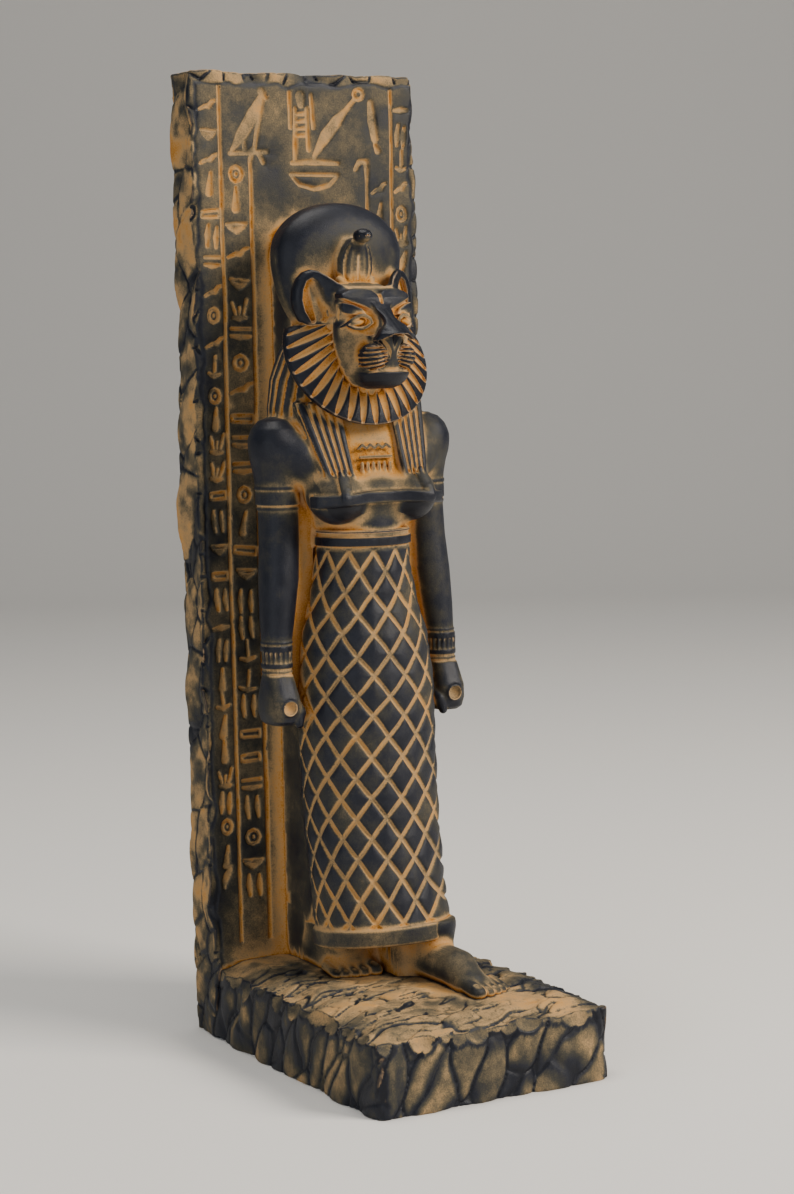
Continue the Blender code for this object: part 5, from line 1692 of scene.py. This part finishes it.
    def _ears(self, clay: Clay) -> None:
        """Model the round ears: thick rims that run into the brow, hollows with a tuft."""
        def face(x: Array, z: Array) -> Array:
            """Give the depth of the ear's rim."""
            return np.interp(np.ravel(x), (8.0, 10.0, 13.0, 17.7, 21.0, 26.0),
                             (5.6, 7.8, 11.6, 15.6, 17.0, 18.8)).reshape(np.shape(x)) + 0.0 * z

        clay.add(plate(list(self.ear), face, 5.0, 2.4, mirrored=True), 1.6)
        clay.cut(plate(list(self.ear_hollow), lambda x, z: face(x, z) - 6.0, 8.4, 1.0, mirrored=True), 0.8)
        clay.add(cord([(15.6, 15.4, 261.0), (16.8, 16.6, 266.0), (18.0, 18.2, 271.4)], [1.8, 1.3, 0.4],
                      mirrored=True, flat=0.7), 1.2)


# Finishes


def linear(code: str) -> tuple[float, float, float, float]:
    """Turn an sRGB hex colour into linear numbers."""
    parts = [int(code[i:i + 2], 16) / 255 for i in (0, 2, 4)]
    return (*[p / 12.92 if p <= 0.04045 else ((p + 0.055) / 1.055) ** 2.4 for p in parts], 1.0)


def add_node(tree: bpy.types.NodeTree, kind: str, settings: dict | None = None,
             links: dict | None = None) -> bpy.types.Node:
    """Add a node with its settings and links.

    Args:
        tree: The node tree.
        kind: The node's type name.
        settings: Attributes by name, and input values by index or socket name.
        links: Output sockets to join, by input index or socket name.

    Returns:
        The node.
    """
    node = tree.nodes.new(kind)
    for key, value in (settings or {}).items():
        if isinstance(key, str) and hasattr(node, key):
            setattr(node, key, value)
        else:
            node.inputs[key].default_value = value
    for key, socket in (links or {}).items():
        tree.links.new(socket, node.inputs[key])
    return node


@dataclass(frozen=True)
class CastStone:
    """Cast stone powder and resin: stained blue-black, washed with ochre and wiped.

    The wash stays in the hollows and the wiping leaves a thin olive dust between, so the
    stone shines only where hands and cloth reach.
    """

    name: str
    # The two highest stops darken the wash to brown deep in creases: the thicker wash's deeper tone together
    # with painted shade.
    stops: tuple[tuple[float, str], ...] = (
        (0.00, "0d101a"), (0.14, "1a1d27"), (0.27, "38362f"), (0.40, "675b45"), (0.54, "a3855c"),
        (0.68, "bd9057"), (0.86, "b37a2e"), (1.10, "8a5415"), (1.45, "40230a"))
    # Pale peach mixed in along sharp edges beside hollows.
    rim_tint: str = "d0ac80"
    grain_mm: float = 0.5
    blotch_mm: float = 3.2

    def material(self) -> bpy.types.Material:
        """Build the material."""
        material = bpy.data.materials.new(self.name)
        material.use_nodes = True
        tree = material.node_tree
        shader = tree.nodes["Principled BSDF"]
        place = add_node(tree, "ShaderNodeTexCoord").outputs["Object"]
        layers = [add_node(tree, "ShaderNodeAttribute", {"attribute_name": name})
                  for name in ("pigment", "polish", "edge")]
        pigment, polish, edge = (layer.outputs["Fac"] for layer in layers)

        def noise(size_mm: float, detail: float, rough: float) -> bpy.types.NodeSocket:
            """Add noise whose grains are about a size in millimetres."""
            settings = {"Scale": 1.0 / (size_mm * MM), "Detail": detail, "Roughness": rough}
            return add_node(tree, "ShaderNodeTexNoise", settings, {"Vector": place}).outputs["Fac"]

        def sums(kind: str, a: bpy.types.NodeSocket, b: bpy.types.NodeSocket | float) -> bpy.types.NodeSocket:
            """Add one sum of a socket with a socket or number."""
            node = add_node(tree, "ShaderNodeMath", {"operation": kind}, {0: a})
            if isinstance(b, float):
                node.inputs[1].default_value = b
            else:
                tree.links.new(b, node.inputs[1])
            return node.outputs[0]

        def spread(value: bpy.types.NodeSocket, low: float, high: float, start: float,
                   stop: float) -> bpy.types.NodeSocket:
            """Map one range to another, smoothly."""
            settings = {"interpolation_type": "SMOOTHSTEP", "From Min": low, "From Max": high,
                        "To Min": start, "To Max": stop}
            return add_node(tree, "ShaderNodeMapRange", settings, {"Value": value}).outputs["Result"]

        grit = noise(self.grain_mm, 3.0, 0.65)
        blotch = noise(self.blotch_mm, 3.0, 0.6)
        coarse = sums("ADD", sums("MULTIPLY", sums("MULTIPLY", pigment, pigment), 0.9), 0.18)
        speckle = sums("MULTIPLY", sums("SUBTRACT", grit, 0.5), coarse)
        drift = sums("MULTIPLY", sums("SUBTRACT", blotch, 0.5), 0.24)
        level = sums("ADD", sums("ADD", pigment, speckle), drift)
        most = self.stops[-1][0]
        ramp_node = add_node(tree, "ShaderNodeValToRGB", {}, {"Fac": sums("DIVIDE", level, most)})
        bands = ramp_node.color_ramp
        while len(bands.elements) < len(self.stops):
            bands.elements.new(0.5)
        for band, (position, code) in zip(bands.elements, self.stops):
            band.position = position / most
            band.color = linear(code)
        rubbed = add_node(tree, "ShaderNodeMix", {"data_type": "RGBA", 7: linear(self.rim_tint)},
                          {0: spread(edge, 0.12, 0.5, 0.0, 0.6), 6: ramp_node.outputs["Color"]})
        tree.links.new(rubbed.outputs[2], shader.inputs["Base Color"])
        dull = spread(level, 0.05, 0.5, 0.46, 0.88)
        tree.links.new(sums("SUBTRACT", dull, sums("MULTIPLY", polish, 0.12)), shader.inputs["Roughness"])
        shader.inputs["Specular IOR Level"].default_value = 0.28
        relief = sums("ADD", grit, sums("MULTIPLY", blotch, 0.5))
        bump = add_node(tree, "ShaderNodeBump", {"Strength": 0.5, "Distance": 0.25 * MM}, {"Height": relief})
        tree.links.new(bump.outputs["Normal"], shader.inputs["Normal"])
        return material


# The studio


@dataclass
class Studio:
    """Pale floor, soft lights and the camera."""

    turn: float = -29.73
    pitch: float = 5.79
    roll: float = 1.13
    focus: Point = (0.0, 0.0, 0.175)
    away: float = 0.90617
    slide: tuple[float, float] = (0.00386, -0.01173)
    lens: float = 2582.3 * 36.0 / 1194.0

    def camera(self) -> None:
        """Set the camera at the photograph's viewing angle."""
        a, p, r = radians(self.turn), radians(self.pitch), radians(self.roll)
        back = Vector((sin(a) * cos(p), -cos(a) * cos(p), sin(p)))
        right = Vector((cos(a), sin(a), 0.0))
        up = back.cross(right)
        spot = Vector(self.focus) + back * self.away + right * self.slide[0] + up * self.slide[1]
        across = right * cos(r) - up * sin(r)
        above = right * sin(r) + up * cos(r)
        data = bpy.data.cameras.new("camera")
        data.sensor_width = 36.0
        data.lens = self.lens
        data.clip_start = 0.05
        camera = bpy.data.objects.new("camera", data)
        bpy.context.scene.collection.objects.link(camera)
        camera.matrix_world = Matrix([[*row] for row in zip(across, above, back, spot)]
                                     + [[0.0, 0.0, 0.0, 1.0]])
        bpy.context.scene.camera = camera

    def floor(self) -> None:
        """Lay the pale floor that curves up behind."""
        mesh = bpy.data.meshes.new("floor")
        bm = bmesh.new()
        rows = []
        profile = [(-3.0, 0.0), (1.6, 0.0)] + [(1.6 + 0.8 * sin(t), 0.8 - 0.8 * cos(t))
                                               for t in np.linspace(0.1, pi / 2, 12)] + [(2.4, 3.4)]
        back = Vector((-sin(radians(self.turn)), cos(radians(self.turn)), 0.0))
        side = Vector((back.y, -back.x, 0.0))
        for forward, height in profile:
            rows.append([bm.verts.new(back * forward + side * s + Vector((0.0, 0.0, height - 0.0002)))
                         for s in (-3.5, 3.5)])
        for low, high in zip(rows, rows[1:]):
            bm.faces.new((low[0], low[1], high[1], high[0]))
        bm.to_mesh(mesh)
        bm.free()
        floor = bpy.data.objects.new("floor", mesh)
        bpy.context.scene.collection.objects.link(floor)
        floor.data.shade_smooth()
        paper = bpy.data.materials.new("matt_paper_backdrop")
        paper.use_nodes = True
        shader = paper.node_tree.nodes["Principled BSDF"]
        shader.inputs["Base Color"].default_value = linear("e4e2de")
        shader.inputs["Roughness"].default_value = 0.9
        floor.data.materials.append(paper)

    def lights(self) -> None:
        """Hang the soft boxes round the statue."""
        world = bpy.data.worlds.new("studio")
        world.use_nodes = True
        world.node_tree.nodes["Background"].inputs[0].default_value = linear("dfe4ea")
        world.node_tree.nodes["Background"].inputs[1].default_value = 0.24
        bpy.context.scene.world = world
        for name, spot, size, power, tint in (
                ("key", (0.75, -0.95, 0.95), 0.6, 27.0, "fff6ea"),
                ("fill", (-1.25, -0.7, 0.5), 0.9, 5.0, "eef2fa"),
                ("top", (-0.1, 0.1, 1.5), 0.7, 12.0, "fffaf2")):
            data = bpy.data.lights.new(name, "AREA")
            data.size = size
            data.energy = power
            data.color = linear(tint)[:3]
            lamp = bpy.data.objects.new(name, data)
            lamp.location = spot
            lamp.rotation_euler = (Vector(spot) - Vector((0.0, 0.0, 0.17))).to_track_quat("Z", "Y").to_euler()
            bpy.context.scene.collection.objects.link(lamp)


# Putting it together


@dataclass(frozen=True)
class Plan:
    """A piece's maker and the most triangles it may have."""

    maker: Maker
    limit: int


class Statue:
    """The whole casting, built piece by piece from clay."""

    @staticmethod
    def plans() -> dict[str, Plan]:
        """List the pieces."""
        return {
            "slab": Plan(Slab(), 160000),
            "base": Plan(Base(), 130000),
            "back_pillar": Plan(Pillar(), 10000),
            "skirt": Plan(Skirt(), 150000),
            "feet": Plan(Feet(), 50000),
            "body_and_arms": Plan(Body(), 170000),
            "mane_disc_and_cobra": Plan(Mane(), 160000),
            "head": Plan(Head(), 160000),
        }

    def build(self) -> None:
        """Model, mesh, dress and register every piece."""
        plans = self.plans()
        clays = {}
        for name, plan in plans.items():
            clays[name] = plan.maker.clay()
            LOG.info("modelled %s, %d grid points", name, clays[name].field.size)
        patina = Patina(list(clays.values()))
        stone = CastStone("ochre_washed_cast_stone").material()
        for name, plan in plans.items():
            points, faces = clays[name].skin()
            piece = make_mesh(name, points, faces, plan.limit)
            patina.measure(piece.data, plan.maker)
            piece.data.materials.append(stone)
            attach(piece, "root")
            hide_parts(NODE)
            LOG.info("%s: %d faces from %d", name, len(piece.data.polygons), len(faces))


def main() -> None:
    """Load the frame, build the statue and the studio, and note both sizes."""
    logging.basicConfig(level=logging.INFO, format="%(name)s: %(message)s")
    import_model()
    Statue().build()
    studio = Studio()
    studio.floor()
    studio.camera()
    studio.lights()


if __name__ == "__main__":
    main()
